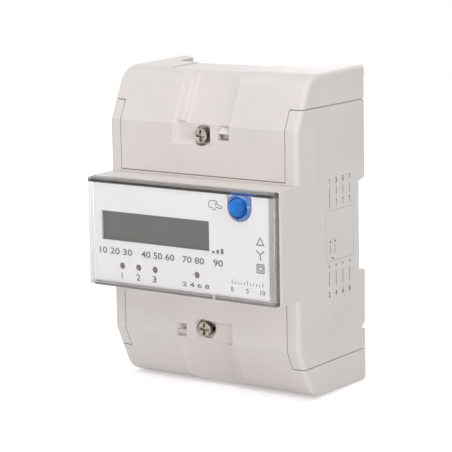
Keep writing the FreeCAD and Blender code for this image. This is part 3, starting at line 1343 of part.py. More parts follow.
def display_holder():
    """Light box behind the display: a wide foot on the board and a raised bed for the glass."""
    margin = size("lcd_margin")
    foot = block("holder_foot", (LCD_LEFT - margin, LCD_RIGHT + margin),
                 (DISPLAY_BOARD_FRONT, BULGE_WALL_BACK - size("thread_gap")),
                 (LCD_LOW - margin, LCD_HIGH + margin))
    bed = block("holder_bed", (LCD_LEFT, LCD_RIGHT),
                (DISPLAY_BOARD_FRONT, LCD_FRONT - size("lcd_sheet")), (LCD_LOW, LCD_HIGH))
    return keep(fused("display_holder", [foot, bed]), "display_holder")


def lamp(label, x_at):
    """A round lamp with a flat end level with the label's back, on two leads."""
    base = LABEL_BACK - size("lamp_body")
    pieces = [rod(label + "_barrel", "forward", size("lamp_radius"), x_at, base, LAMP_Z,
                  size("lamp_body")),
              rod(label + "_rim", "forward", size("lamp_radius") + size("lamp_rim"), x_at, base,
                  LAMP_Z, size("lamp_rim_height"))]
    for name, side in (("left", -1), ("right", 1)):
        pieces.append(rod(f"{label}_lead_{name}", "forward", size("lamp_lead"),
                          x_at + size("lamp_lead_step") * side, DISPLAY_BOARD_FRONT, LAMP_Z,
                          base - DISPLAY_BOARD_FRONT + size("lamp_rim_height")))
    return keep(fused(label, pieces), label)


# Label plate and window
def label_plate():
    body = new_body("label_plate")
    plate = new_sketch(body, "plate_outline", "XZ_Plane", LABEL_BACK)
    corner = size("label_corner")
    add_outline(plate, [(-LABEL_HALF, LABEL_BOTTOM), (LABEL_HALF - corner, LABEL_BOTTOM),
                        (LABEL_HALF, LABEL_BOTTOM + corner), (LABEL_HALF, LABEL_TOP),
                        (-LABEL_HALF, LABEL_TOP)])
    pad(body, plate, size("label_sheet"))
    cuts = new_sketch(body, "plate_openings", "XZ_Plane", LABEL_FRONT)
    add_rectangle(cuts, LCD_LEFT, LCD_RIGHT, LCD_LOW, LCD_HIGH)
    for x_at in lamp_positions():
        add_circle(cuts, x_at, LAMP_Z, size("lamp_radius") - size("lcd_slack"))
    pocket(body, cuts, size("label_sheet") + PAST)
    tongue = tongue_outline(body, "plate_button", LABEL_FRONT, TONGUE_ROOM, LABEL_TOP + PAST)
    pocket(body, tongue, size("label_sheet") + PAST)
    round_edges(body, "plate_rounding", TONGUE_ROOM - size("thread_gap"),
                tongue_corner(TONGUE_ROOM))
    return body


def clear_window():
    body = new_body("clear_window")
    inset = size("window_inset")
    outside = new_sketch(body, "window_outline", "XZ_Plane", BULGE_FRONT)
    add_rectangle(outside, -WINDOW_HALF, WINDOW_HALF, BULGE_BOTTOM + inset, BULGE_TOP - inset)
    pad(body, outside, WINDOW_FRONT - BULGE_FRONT)

    def upright(edge):
        return close(spans(edge, 1), edge.Length)

    def front_side(edge):
        at_front = close(edge.CenterOfMass.y, -float(WINDOW_FRONT))
        return at_front and close(abs(edge.CenterOfMass.x), WINDOW_HALF)

    round_edges(body, "window_corners", size("window_sheet") / 2, upright)
    round_edges(body, "window_sides", size("window_round"), front_side)
    inside = new_sketch(body, "window_room", "XZ_Plane", WINDOW_BACK)
    wall = size("window_wall")
    room = WINDOW_HALF - wall
    add_rectangle(inside, -room, room, BULGE_BOTTOM + inset + wall, BULGE_TOP - inset - wall)
    pocket(body, inside, WINDOW_FRONT)
    notch = new_sketch(body, "window_latch_notch", "XZ_Plane", WINDOW_BACK)
    notch_half = size("latch_width") / 2 + size("fit_gap")
    add_rectangle(notch, size("latch_x") - notch_half, size("latch_x") + notch_half,
                  BULGE_BOTTOM - PAST, LABEL_BOTTOM)
    pocket(body, notch, WINDOW_FRONT)
    hole = new_sketch(body, "window_button_hole", "XZ_Plane", WINDOW_FRONT)
    add_circle(hole, BUTTON_X, BUTTON_Z, size("button_cap") + size("button_room"))
    pocket(body, hole, size("window_sheet") + PAST)
    return body


# Button and its switch
def blue_button():
    body = new_body("blue_button")
    half = size("button_half")
    tongue = tongue_outline(body, "button_tongue_form", TONGUE_BACK, half, LABEL_TOP)
    pad(body, tongue, size("button_tongue"))
    round_edges(body, "tongue_rounding", half - size("thread_gap"), tongue_corner(half))
    cap_front = WINDOW_FRONT + size("button_rise")

    def shoulder(edge):
        high = close(edge.CenterOfMass.z, float(LABEL_TOP))
        return high and close(spans(edge, 1), edge.Length)

    def cap_edge(edge):
        return close(edge.CenterOfMass.y, -float(cap_front)) and close(spans(edge, 1), 0)

    round_edges(body, "tongue_shoulders", size("button_shoulder"), shoulder)
    cap = new_sketch(body, "button_cap_disc", "XZ_Plane", LABEL_FRONT)
    add_circle(cap, BUTTON_X, BUTTON_Z, size("button_cap"))
    pad(body, cap, cap_front - LABEL_FRONT)
    round_edges(body, "cap_rounding", size("button_soft"), cap_edge)
    stem = new_sketch(body, "button_stem_rod", "XZ_Plane", TONGUE_BACK)
    add_circle(stem, BUTTON_X, BUTTON_Z, size("button_stem"))
    pad(body, stem, TONGUE_BACK - PLUNGER_FRONT, backwards=True)
    return body


def button_switch():
    """A square switch on the display board, with a bore for its plunger."""
    half = size("switch_size") / 2
    case = block("switch_case", (BUTTON_X - half, BUTTON_X + half),
                 (DISPLAY_BOARD_FRONT, SWITCH_FRONT), (BUTTON_Z - half, BUTTON_Z + half))
    depth = size("plunger_seat") + size("button_travel") + size("fit_gap")
    bore = rod("switch_bore", "forward", size("plunger_radius") + size("fit_gap"), BUTTON_X,
               SWITCH_FRONT - depth, BUTTON_Z, depth + PAST)
    return keep(minus("button_switch", case, [bore]), "button_switch")


def switch_plunger():
    back = SWITCH_FRONT - size("plunger_seat")
    return keep(rod("switch_plunger", "forward", size("plunger_radius"), BUTTON_X, back, BUTTON_Z,
                    PLUNGER_FRONT - back), "switch_plunger")


def build_case():
    rear_base()
    front_housing()
    terminal_cover("top_terminal_cover", turned=False)
    terminal_cover("bottom_terminal_cover", turned=True)
    cover_screw("top_cover_screw", 1)
    cover_screw("bottom_cover_screw", -1)
    threaded_inserts()
    rail_clip()
    clip_spring()
    case_screws()


def build_terminals():
    for side, level in (("top", 1), ("bottom", -1)):
        terminal_block(f"terminal_block_{side}", level)
        for number, column in enumerate(TERMINAL_COLUMNS, 1):
            terminal_cage(f"terminal_cage_{side}_{number}", column, level)
    terminal_screws()
    for number, side in enumerate(SIDES, 1):
        pulse_terminal(f"pulse_terminal_{number}", side)
    pulse_terminal_screws()
    for number, column in enumerate(TERMINAL_COLUMNS[:3], 1):
        current_strap(f"phase_strap_{number}", column, waisted=True)
    current_strap("neutral_strap", TERMINAL_COLUMNS[3], waisted=False)


def build_boards():
    length = size("board_screw_length")
    sheet_and_length = size("board_sheet") + length - size("fit_gap")
    circuit_board("main_board", MAIN_BOARD_HALF, MAIN_BOARD_TALL, MAIN_BOARD_BACK, MAIN_POST_X,
                  MAIN_POST_Z)
    board_screws("main_board_screws", MAIN_POST_X, MAIN_POST_Z, MAIN_BOARD_FRONT,
                 MAIN_BOARD_FRONT - sheet_and_length, sheet_and_length)
    circuit_board("display_board", DISPLAY_BOARD_HALF,
                  size("bulge_height") / 2 - size("display_board_end"), DISPLAY_BOARD_BACK,
                  DISPLAY_POST_X, DISPLAY_POST_Z)
    board_screws("display_board_screws", DISPLAY_POST_X, DISPLAY_POST_Z,
                 DISPLAY_BOARD_BACK - size("board_head_height"), DISPLAY_BOARD_BACK,
                 sheet_and_length)
    supply_capacitor()
    varistors()
    on_board("film_capacitor", 0.28, -0.48, size("film_length"), size("film_width"),
             size("film_height"))
    on_board("supply_transformer", 0.76, -0.26, size("transformer_size"),
             size("transformer_size"), size("transformer_size"))
    on_board("metering_chip", -0.66, -0.48, size("chip_size"), size("chip_size"),
             size("chip_sheet"))
    on_board("pulse_coupler", -0.08, 0.57, size("coupler_size"), size("coupler_size"),
             size("coupler_height"))
    board_link()


def build_display():
    display_glass()
    display_holder()
    for number, x_at in enumerate(lamp_positions()[:3], 1):
        lamp(f"phase_lamp_{number}", x_at)
    lamp("pulse_lamp", lamp_positions()[3])
    label_plate()
    clear_window()
    blue_button()
    button_switch()
    switch_plunger()


def check_all():
    doc.recompute()
    faults = []
    for item in doc.Objects:
        if "Invalid" in item.State or "Error" in item.State:
            faults.append(f"{item.Label}: {item.State}")
    for item in PARTS:
        if item.Shape.isNull() or not item.Shape.isValid() or not item.Shape.Solids:
            faults.append(f"{item.Label}: shape is null, not valid or has no solid")
    if faults:
        raise RuntimeError("; ".join(faults))


def write_all():
    os.makedirs("parts", exist_ok=True)
    for item in PARTS:
        item.Shape.exportStep(os.path.join("parts", item.Label + ".step"))
        print(f"{item.Label}: {len(item.Shape.Solids)} solids, {item.Shape.Volume:.1f} mm3")


build_case()
build_terminals()
build_boards()
build_display()
check_all()
write_all()
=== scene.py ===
# %% [markdown]
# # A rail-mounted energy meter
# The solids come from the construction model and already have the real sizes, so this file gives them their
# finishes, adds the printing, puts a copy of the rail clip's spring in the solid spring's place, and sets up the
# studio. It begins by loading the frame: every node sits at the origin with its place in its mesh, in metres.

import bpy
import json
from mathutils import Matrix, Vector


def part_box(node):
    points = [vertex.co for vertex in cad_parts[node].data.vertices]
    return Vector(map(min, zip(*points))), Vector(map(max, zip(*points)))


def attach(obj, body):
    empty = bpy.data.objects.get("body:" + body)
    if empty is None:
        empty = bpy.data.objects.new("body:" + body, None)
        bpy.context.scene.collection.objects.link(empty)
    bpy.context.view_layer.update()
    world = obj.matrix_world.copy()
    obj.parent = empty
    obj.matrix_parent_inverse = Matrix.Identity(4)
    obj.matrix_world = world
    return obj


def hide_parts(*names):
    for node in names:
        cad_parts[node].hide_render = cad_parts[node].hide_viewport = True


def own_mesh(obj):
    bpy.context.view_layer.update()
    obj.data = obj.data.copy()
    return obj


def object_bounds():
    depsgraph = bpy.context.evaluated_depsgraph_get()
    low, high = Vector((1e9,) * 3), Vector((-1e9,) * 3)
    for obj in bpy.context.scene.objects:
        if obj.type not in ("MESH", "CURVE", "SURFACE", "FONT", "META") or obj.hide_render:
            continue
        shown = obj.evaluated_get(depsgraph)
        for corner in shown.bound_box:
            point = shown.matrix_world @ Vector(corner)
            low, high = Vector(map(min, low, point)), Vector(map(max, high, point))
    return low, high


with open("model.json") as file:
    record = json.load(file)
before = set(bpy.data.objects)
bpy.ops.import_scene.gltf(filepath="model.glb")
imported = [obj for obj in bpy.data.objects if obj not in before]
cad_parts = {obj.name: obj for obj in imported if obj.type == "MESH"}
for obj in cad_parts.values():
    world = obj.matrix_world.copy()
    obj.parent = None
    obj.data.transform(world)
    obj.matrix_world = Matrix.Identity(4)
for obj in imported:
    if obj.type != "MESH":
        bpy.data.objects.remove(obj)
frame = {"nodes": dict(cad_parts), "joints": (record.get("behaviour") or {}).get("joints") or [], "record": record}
nodes = frame["nodes"]
cad_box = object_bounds()

# %% [markdown]
# ## Tools
# Everything here is plain Blender: bmesh and mathutils build the shapes, node trees build the
# finishes, and no image or add-on is used. Sizes on the object are written in millimetres and
# turned into metres with MM, since the frame is in metres. The studio is written in metres.

# %% Tools
import json
import math

import bmesh
import bpy
from mathutils import Matrix, Vector

MM = 0.001

# %% [markdown]
# ## Writing shaders as sums
# Node trees are hard to read once they are wired by hand. Here a socket is wrapped in a small
# class, so that `1 - mask` or `grain * 0.3` adds the Math nodes by itself. All other nodes come
# from one method of the next cell, which sets a node's own settings first and then its sockets.
# Every pattern lies on the object's own coordinates, so it is as large on a screw as on the case.


# %% A socket that Python can reckon with
class Wire:
    """An output socket of a finish; operators on it add Math nodes."""

    def __init__(self, finish, socket):
        self.finish = finish
        self.socket = socket

    def reckon(self, operation, first, second):
        return self.finish.node("ShaderNodeMath", {"operation": operation}, {0: first, 1: second})

    def __add__(self, other):
        return self.reckon("ADD", self, other)

    __radd__ = __add__

    def __mul__(self, other):
        return self.reckon("MULTIPLY", self, other)

    __rmul__ = __mul__

    def __sub__(self, other):
        return self.reckon("SUBTRACT", self, other)

    def __rsub__(self, other):
        return self.reckon("SUBTRACT", other, self)

    def __truediv__(self, other):
        return self.reckon("DIVIDE", self, other)

    def __pow__(self, other):
        return self.reckon("POWER", self, other)

    def absolute(self):
        return self.reckon("ABSOLUTE", self, 0.0)

    def or_more(self, other):
        """The larger of two values, which joins two masks."""
        return self.reckon("MAXIMUM", self, other)

    def capped(self):
        """The value, held between 0 and 1."""
        return self.reckon("MAXIMUM", self.reckon("MINIMUM", self, 1.0), 0.0)

    def past(self, edge, soft_mm=0.3):
        """A mask that rises from 0 to 1 over a short way past an edge."""
        return ((self - edge) / (soft_mm * MM)).capped()


# %% [markdown]
# ## One finish and its nodes
# A finish is a material with one Principled shader and whatever drives it. Moulded, worked and
# printed surfaces share a few habits: noise of a given size, worn edges, and a low relief over
# edges that are softened without any extra faces. These become methods, and each finish below is
# then a recipe of a few lines.


# %% A finish
EDGE_GAIN = 4.0


class Finish:
    """One procedural material around a Principled shader."""

    def __init__(self, name, **constants):
        self.material = bpy.data.materials.new(name)
        self.material.use_nodes = True
        self.tree = self.material.node_tree
        self.shader = self.tree.nodes["Principled BSDF"]
        self.output = self.tree.nodes["Material Output"]
        self.feed(**constants)

    def feed(self, **sockets):
        """Sets or links sockets of the shader by their names, with _ for a space."""
        for socket_name, value in sockets.items():
            self.join(self.shader.inputs[socket_name.replace("_", " ")], value)

    def join(self, socket, value):
        if isinstance(value, Wire):
            self.tree.links.new(value.socket, socket)
        elif isinstance(value, tuple) and len(value) == 3 and socket.type == "RGBA":
            socket.default_value = (*value, 1.0)
        else:
            socket.default_value = value

    def node(self, kind, settings=None, sockets=None, result=0):
        """Adds a node: its settings first, then the values or links of its sockets."""
        made = self.tree.nodes.new(kind)
        for key, value in (settings or {}).items():
            setattr(made, key, value)
        for key, value in (sockets or {}).items():
            self.join(made.inputs[key], value)
        return Wire(self, made.outputs[result])

    def place(self, scale=(1.0, 1.0, 1.0)):
        """Object coordinates in metres, stretched where a pattern runs one way."""
        here = self.node("ShaderNodeTexCoord", result="Object")
        return self.node("ShaderNodeMapping", {}, {"Vector": here, "Scale": scale})

    def axes(self):
        """How far a point lies across, inwards and upwards, as three values."""
        spot = self.node("ShaderNodeSeparateXYZ", {}, {0: self.place()})
        return [Wire(self, part) for part in spot.socket.node.outputs]

    def noise(self, size_mm, detail=2.0, where=None):
        """Noise between about 0 and 1, with features of the given size."""
        return self.node("ShaderNodeTexNoise", {}, {
            "Vector": where or self.place(), "Scale": 1000.0 / size_mm, "Detail": detail})

    def mixed(self, share, first, second):
        """One colour that runs into another as the share goes from 0 to 1."""
        return self.node("ShaderNodeMix", {"data_type": "RGBA"},
                         {0: share, 6: first, 7: second}, result=2)

    def rounded(self, radius_mm):
        """The surface's direction with every sharp edge softened."""
        return self.node("ShaderNodeBevel", {"samples": 6}, {"Radius": radius_mm * MM})

    def edge_wear(self, radius_mm):
        """A mask that is 1 at sharp edges and 0 on flat faces."""
        flat = self.node("ShaderNodeNewGeometry", result="Normal")
        turned = self.node("ShaderNodeVectorMath", {"operation": "DOT_PRODUCT"},
                           {0: self.rounded(radius_mm), 1: flat}, result="Value")
        return ((1.0 - turned) * EDGE_GAIN).capped()

    def relief(self, height, depth_mm, edge_mm):
        """Feeds a bump of the given depth into the shader, over softened edges."""
        bump = self.node("ShaderNodeBump", {}, {
            "Height": height, "Distance": depth_mm * MM, "Strength": 1.0,
            "Normal": self.rounded(edge_mm)})
        self.feed(Normal=bump)


# %% [markdown]
# ## Moulded plastics
# The case is injection moulded from a fine-grained tool. Under a soft light that grain only
# spreads the highlight, so it is a very low bump, with a slow drift of tone from the flow of the
# melt, and edges that handling has polished a little lighter and smoother.


# %% Moulded plastics
FLOW_MM = 26.0
POLISHED, POLISHED_SHARE = 1.06, 0.5
GRAIN_SWING, EDGE_GLOSS = 0.12, 0.08


def shaded(colour, share):
    """A colour made darker or lighter by a factor."""
    return tuple(min(1.0, channel * share) for channel in colour)


def moulded(name, colour, roughness=0.45, grain_mm=0.35, grain_depth_mm=0.012, edge_mm=0.35,
            drift=0.035):
    """Plastic with a grain, a drift of its tone and polished edges."""
    finish = Finish(name, Specular_IOR_Level=0.42)
    flow = finish.noise(FLOW_MM, detail=3.0)
    grain = finish.noise(grain_mm)
    worn = finish.edge_wear(edge_mm)
    tone = finish.mixed((flow * 2.0 - 0.5).capped(), shaded(colour, 1.0 - drift),
                        shaded(colour, 1.0 + drift))
    finish.feed(Base_Color=finish.mixed(worn * POLISHED_SHARE, tone, shaded(colour, POLISHED)),
                Roughness=roughness + (grain - 0.5) * GRAIN_SWING - worn * EDGE_GLOSS)
    finish.relief(grain, grain_depth_mm, edge_mm)
    return finish


CASE_GREY = (0.703, 0.661, 0.637)
COVER_GREY = (0.713, 0.666, 0.645)
FINISHES = {
    "case_plastic": moulded("case_plastic", CASE_GREY),
    "cover_plastic": moulded("cover_plastic", COVER_GREY),
    "clip_plastic": moulded("clip_plastic", (0.055, 0.055, 0.06), roughness=0.38),
    "white_plastic": moulded("white_plastic", (0.78, 0.78, 0.76), roughness=0.5),
    "block_plastic": moulded("block_plastic", (0.30, 0.30, 0.295), roughness=0.5, grain_mm=0.8),
    "component_black": moulded("component_black", (0.022, 0.022, 0.024), roughness=0.4,
                               grain_mm=0.15),
    "component_blue": moulded("component_blue", (0.02, 0.07, 0.28), roughness=0.25,
                              grain_mm=3.0, grain_depth_mm=0.05, edge_mm=0.9),
    "component_yellow": moulded("component_yellow", (0.62, 0.47, 0.06), roughness=0.35,
                                grain_mm=2.0),
}
print("moulded finishes:", ", ".join(FINISHES))

# %% [markdown]
# ## The clear window
# The window is polished, so its look is nearly all reflection and refraction. Light that only
# casts a shadow passes straight through it, since the label behind would otherwise lie in the dark.
# Its upper and right walls get a nearly black painted shade, which stands for light that runs a long way inside
# them before it comes out. Near the button they get a painted reflection of its blue. Round the label the pane's
# rim gets a grey painted shade, paler on the far left. Masks on the place of each point tell pane, rim and wall,
# and mix the pane's colour with the painted shade and the painted reflection.


# %% Clear window
# The pane's own colour, the painted shade of rim and walls, and the painted reflection of the button's blue.
PANE = (0.97, 0.975, 0.98)
RIM_SHADE = (0.68, 0.67, 0.68)
WALL_SHADE = (0.035, 0.035, 0.032)
BUTTON_BLUE_REFLECTION = (0.03, 0.16, 0.52)
SHADOW_TINT = (0.96, 0.965, 0.97)
LEFT_RIM_SHADE_SHARE = 0.75
WALL_THICKNESS = 0.6 * MM
PANE_THICKNESS = 1.2 * MM
SHADE_BAND = 0.9 * MM
BAND_FADE = 0.8
REFLECTION_SHIFT, REFLECTION_HALF = 1.6 * MM, 4.4 * MM
SMEAR_MM, RIPPLE_MM = 9.0, 14.0
label_low, label_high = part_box("label_plate")
window_low, window_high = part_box("clear_window")
button_low, button_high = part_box("blue_button")
button_middle = (button_low[0] + button_high[0]) / 2


def clear_plastic():
    """Polished plastic with painted shade on its rim and walls and a painted reflection of the button's blue."""
    finish = Finish("clear_plastic", IOR=1.5, Transmission_Weight=1.0, Specular_IOR_Level=0.5)
    across, inwards, upwards = finish.axes()
    left, down = -1.0 * across, -1.0 * upwards

    # Painted shade on the rim round the label, weaker on the far left.
    rim = across.past(label_high[0]).or_more(down.past(-label_low[2]))
    rim = rim.or_more(left.past(label_high[0]) * LEFT_RIM_SHADE_SHARE)
    # Painted shade on the right wall and in a band above the label.
    right_wall = (across.past(window_high[0] - WALL_THICKNESS)
                  * inwards.past(window_low[1] + PANE_THICKNESS))
    above_label = upwards.past(label_high[2])
    over_band = upwards.past(label_high[2] + SHADE_BAND, soft_mm=0.8)
    wall = right_wall.or_more(above_label * (1.0 - BAND_FADE * over_band))
    # A painted reflection of the button's blue on the upper wall near the button.
    off_reflection = (across - button_middle - REFLECTION_SHIFT).absolute()
    near_button = 1.0 - off_reflection.past(REFLECTION_HALF, soft_mm=1.5)
    painted_walls = finish.mixed(near_button * above_label, WALL_SHADE, BUTTON_BLUE_REFLECTION)

    finish.feed(Base_Color=finish.mixed(wall, finish.mixed(rim, PANE, RIM_SHADE), painted_walls),
                Roughness=0.015 + finish.noise(SMEAR_MM, detail=3.0) * 0.03)
    finish.relief(finish.noise(RIPPLE_MM, detail=1.0), depth_mm=0.012, edge_mm=0.25)
    through = finish.node("ShaderNodeBsdfTransparent", {}, {"Color": SHADOW_TINT})
    shadow = finish.node("ShaderNodeLightPath", result="Is Shadow Ray")
    both = finish.node("ShaderNodeMixShader", {}, {
        0: shadow, 1: Wire(finish, finish.shader.outputs[0]), 2: through})
    finish.join(finish.output.inputs["Surface"], both)
    return finish


FINISHES["clear_plastic"] = clear_plastic()
print("window: a rim of", round((window_high[0] - label_high[0]) / MM, 1), "mm beside the label")

# %% [markdown]
# ## Smooth and printed surfaces
# Display, lamps and button are smooth, with faint smears that only show in their reflections. The button is a
# translucent blue with painted light and shade in its colour: a painted highlight on the left of its round cap,
# painted shade towards the cap's right, and a deeper painted shade on the tongue around it, which lies behind the
# window. So its colour follows the way from the middle of the cap. The label is a thin sheet, and each ink has the
# density that it shows in print.


# %% Button, display, label and inks
def glossy(name, colour, roughness, coat=0.0, edge_mm=0.25):
    """A smooth surface with faint smears."""
    finish = Finish(name, Coat_Roughness=0.05, Coat_Weight=coat, Specular_IOR_Level=0.3)
    smear = finish.noise(6.0, detail=3.0)
    finish.feed(Base_Color=finish.mixed(smear, shaded(colour, 0.9), colour),
                Roughness=roughness + (smear - 0.5) * 0.08)
    finish.relief(smear, depth_mm=0.004, edge_mm=edge_mm)
    return finish


# The button's blue as lit, its painted shade on the cap's right side, and its painted shade on the tongue.
LIT_CAP_BLUE = (0.004, 0.21, 0.74)
SHADED_CAP_BLUE = (0.003, 0.10, 0.38)
SHADED_TONGUE_BLUE = (0.004, 0.085, 0.34)
CAP_RADIUS = 3.2 * MM
SHADING_WIDTH, SHADING_START = 5.0 * MM, 0.35


def button_plastic():
    """A smooth blue surface with a painted highlight and painted shade on its cap, and painted shade on the tongue
    round it.
    """
    finish = glossy("blue_plastic", LIT_CAP_BLUE, 0.3)
    across, _, upwards = finish.axes()
    plunger_low, plunger_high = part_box("switch_plunger")
    sideways = across - button_middle
    lengthways = upwards - (plunger_low[2] + plunger_high[2]) / 2
    off_centre = (sideways ** 2.0 + lengthways ** 2.0) ** 0.5
    # Painted highlight and painted shade on the cap: lighter on the left, darker towards the right.
    shading = (sideways / SHADING_WIDTH + SHADING_START).capped()
    cap_light_and_shade = finish.mixed(shading, LIT_CAP_BLUE, SHADED_CAP_BLUE)
    # Painted shade on the tongue around the cap, which lies behind the window.
    outside_cap = off_centre.past(CAP_RADIUS, soft_mm=0.5)
    finish.feed(Base_Color=finish.mixed(outside_cap, cap_light_and_shade, SHADED_TONGUE_BLUE))
    return finish


def thin_sheet(name, colour, roughness=0.4, grain_mm=0.3, grain_depth_mm=0.002, edge_mm=0.03,
               drift=0.2):
    """Ink or foil, with hardly any relief."""
    return moulded(name, colour, roughness, grain_mm, grain_depth_mm, edge_mm, drift)


FINISHES.update({
    "blue_plastic": button_plastic(),
    "display_glass": glossy("display_glass", (0.034, 0.030, 0.021), roughness=0.4, edge_mm=0.1),
    "red_lamp": glossy("red_lamp", (0.075, 0.055, 0.055), roughness=0.3, coat=0.3, edge_mm=0.2),
    "label_sheet": thin_sheet("label_sheet", (0.555, 0.535, 0.53), roughness=0.45,
                              grain_mm=0.25, grain_depth_mm=0.003, edge_mm=0.08, drift=0.01),
    "print_ink": thin_sheet("print_ink", (0.04, 0.04, 0.045)),
    "side_ink": thin_sheet("side_ink", (0.13, 0.125, 0.12), roughness=0.45),
    "faint_ink": thin_sheet("faint_ink", (0.47, 0.445, 0.42), roughness=0.45, drift=0.12),
})
print("with smooth and printed surfaces:", len(FINISHES), "finishes")

# %% [markdown]
# ## Metals and circuit boards
# Turned and rolled metal keeps fine marks along the way it was worked. The plated screws are more
# uneven than the rest, so their marks are larger and deeper, and small dull spots lie between
# them. The boards carry a solder mask whose green deepens over the bare laminate and lightens
# over the copper beneath it.


# %% Metals and boards
MARK_SWING = 0.25


def metal(name, colour, roughness, grain_mm, stretch=(1.0, 1.0, 1.0), depth_mm=0.008,
          dull_mm=4.0, dull_share=0.72):
    """Worked metal, with fine marks and duller patches."""
    finish = Finish(name, Metallic=1.0)
    marks = finish.noise(grain_mm, detail=3.0, where=finish.place(stretch))
    bright = (finish.noise(dull_mm) * 1.6 - 0.4).capped()
    finish.feed(Base_Color=finish.mixed(bright, shaded(colour, dull_share), colour),
                Roughness=roughness + (marks - 0.5) * MARK_SWING)
    finish.relief(marks, depth_mm, edge_mm=0.15)
    return finish


OVER_LAMINATE = (0.012, 0.105, 0.045)
OVER_COPPER = (0.03, 0.17, 0.07)
TRACK_SCALE, TRACK_GAP = 260.0, 0.12


def board_mask():
    """Solder mask over a grid that stands for the tracks."""
    finish = Finish("circuit_board", Coat_Weight=0.3, Coat_Roughness=0.15)
    tracks = finish.node("ShaderNodeTexBrick", {}, {
        "Vector": finish.place((1.0, 0.0, 1.0)), "Scale": TRACK_SCALE, "Mortar Size": TRACK_GAP,
        "Color1": (1.0, 1.0, 1.0), "Color2": (0.0, 0.0, 0.0), "Mortar": (0.0, 0.0, 0.0)},
        result="Fac")
    finish.feed(Base_Color=finish.mixed(tracks, OVER_LAMINATE, OVER_COPPER),
                Roughness=0.32 + tracks * 0.1)
    finish.relief(tracks, depth_mm=0.03, edge_mm=0.1)
    return finish


FINISHES.update({
    "spring_steel": metal("spring_steel", (0.56, 0.56, 0.55), roughness=0.28, grain_mm=0.3),
    "plated_steel": metal("plated_steel", (0.59, 0.525, 0.445), roughness=0.22, grain_mm=0.9,
                          depth_mm=0.06, dull_mm=1.3, dull_share=0.3),
    "brass": metal("brass", (0.78, 0.57, 0.24), roughness=0.3, grain_mm=0.3),
    "plated_cage": metal("plated_cage", (0.70, 0.67, 0.60), roughness=0.35, grain_mm=0.4,
                         stretch=(1.0, 0.2, 1.0)),
    "copper": metal("copper", (0.76, 0.36, 0.22), roughness=0.32, grain_mm=0.4,
                    stretch=(1.0, 1.0, 0.1)),
    "circuit_board": board_mask(),
})
print("with metals and boards:", len(FINISHES), "finishes")

# %% [markdown]
# ## Finishes on the solids
# The record names a material slot for every node. Each mesh gets the finish of its slot, and its
# shape and its place stay as they are.

# %% Finishes on the solids
for subpart in frame["record"]["subparts"]:
    finish = FINISHES[subpart["material_slot"]].material
    mesh = nodes[subpart["node"]].data
    if not mesh.materials:
        mesh.materials.append(finish)
    for index in range(len(mesh.materials)):
        mesh.materials[index] = finish

# %% [markdown]
# ## The spring that closes the rail clip
# Pulling the clip presses its spring against a lug of the case, so the spring gets shorter while its coils stay on
# the lug. A body of the frame is rigid. The solid spring gives its place to a copy that rides on the case and
# keeps the spring's full length while the clip moves. A spring drawn anew could miss its seats, and a copy can't.

# %% The spring's copy
spring_low, spring_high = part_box("clip_spring")
release = next(joint for joint in frame["joints"] if joint["name"] == "clip_release")
travel = max(release["range_m"])
pressed_spring = bpy.data.objects.new("pressed_spring", nodes["clip_spring"].data.copy())
bpy.context.scene.collection.objects.link(pressed_spring)
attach(pressed_spring, "case")
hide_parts("clip_spring")
1.0 - travel / (spring_high[2] - spring_low[2])
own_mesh(pressed_spring)
print("spring:", round((spring_high[2] - spring_low[2]) / MM, 2), "mm long at rest,",
      round(travel / MM, 2), "mm shorter with the clip pulled")

# %% [markdown]
# ## Printing
# Ink lies two hundredths of a millimetre high on the label and on the case's right side. Drawn as thin closed
# shapes it keeps crisp edges at any zoom, needs no image, and is real geometry.
#
# Most of the signs are lines that turn. Where a ribbon turns, its two edges meet on the line that
# halves the corner, a little further out than half its width, so that it stays as wide all the
# way. The cap on that reach keeps a very sharp corner from growing a spike.

# %% The edges of a stroke
SHARPEST_MITRE = 0.35


def mitred(points, width, closed):
    """The two edges of a stroke along the points, with mitred corners."""
    edges = []
    for index, point in enumerate(points):
        headings = []
        if closed or index > 0:
            headings.append((point - points[index - 1]).normalized())
        if closed or index < len(points) - 1:
            headings.append((points[(index + 1) % len(points)] - point).normalized())
        heading = (headings[0] + headings[-1]).normalized()
        across = Vector((-heading.y, heading.x))
        square = Vector((-headings[0].y, headings[0].x))
        reach = width / 2 / max(SHARPEST_MITRE, across.dot(square))
        edges.append((point + across * reach, point - across * reach))
    return edges


# %% [markdown]
# ## A sheet of print
# A sheet gathers ink in a flat plane first: strokes, filled shapes, dots, plain digits and meshes
# that were made elsewhere. A small function then says where that plane lies on the object. Digits
# come from the font that Blender brings along, and each number is stretched to the box it is
# given, so its size doesn't depend on the font.


# %% A sheet of print
INK_HEIGHT = 0.02 * MM
WELD_DISTANCE = 0.0005 * MM
BOLDER = 0.018
LONE_ONE_START, LONE_ONE_WIDTH = 0.4, 0.22


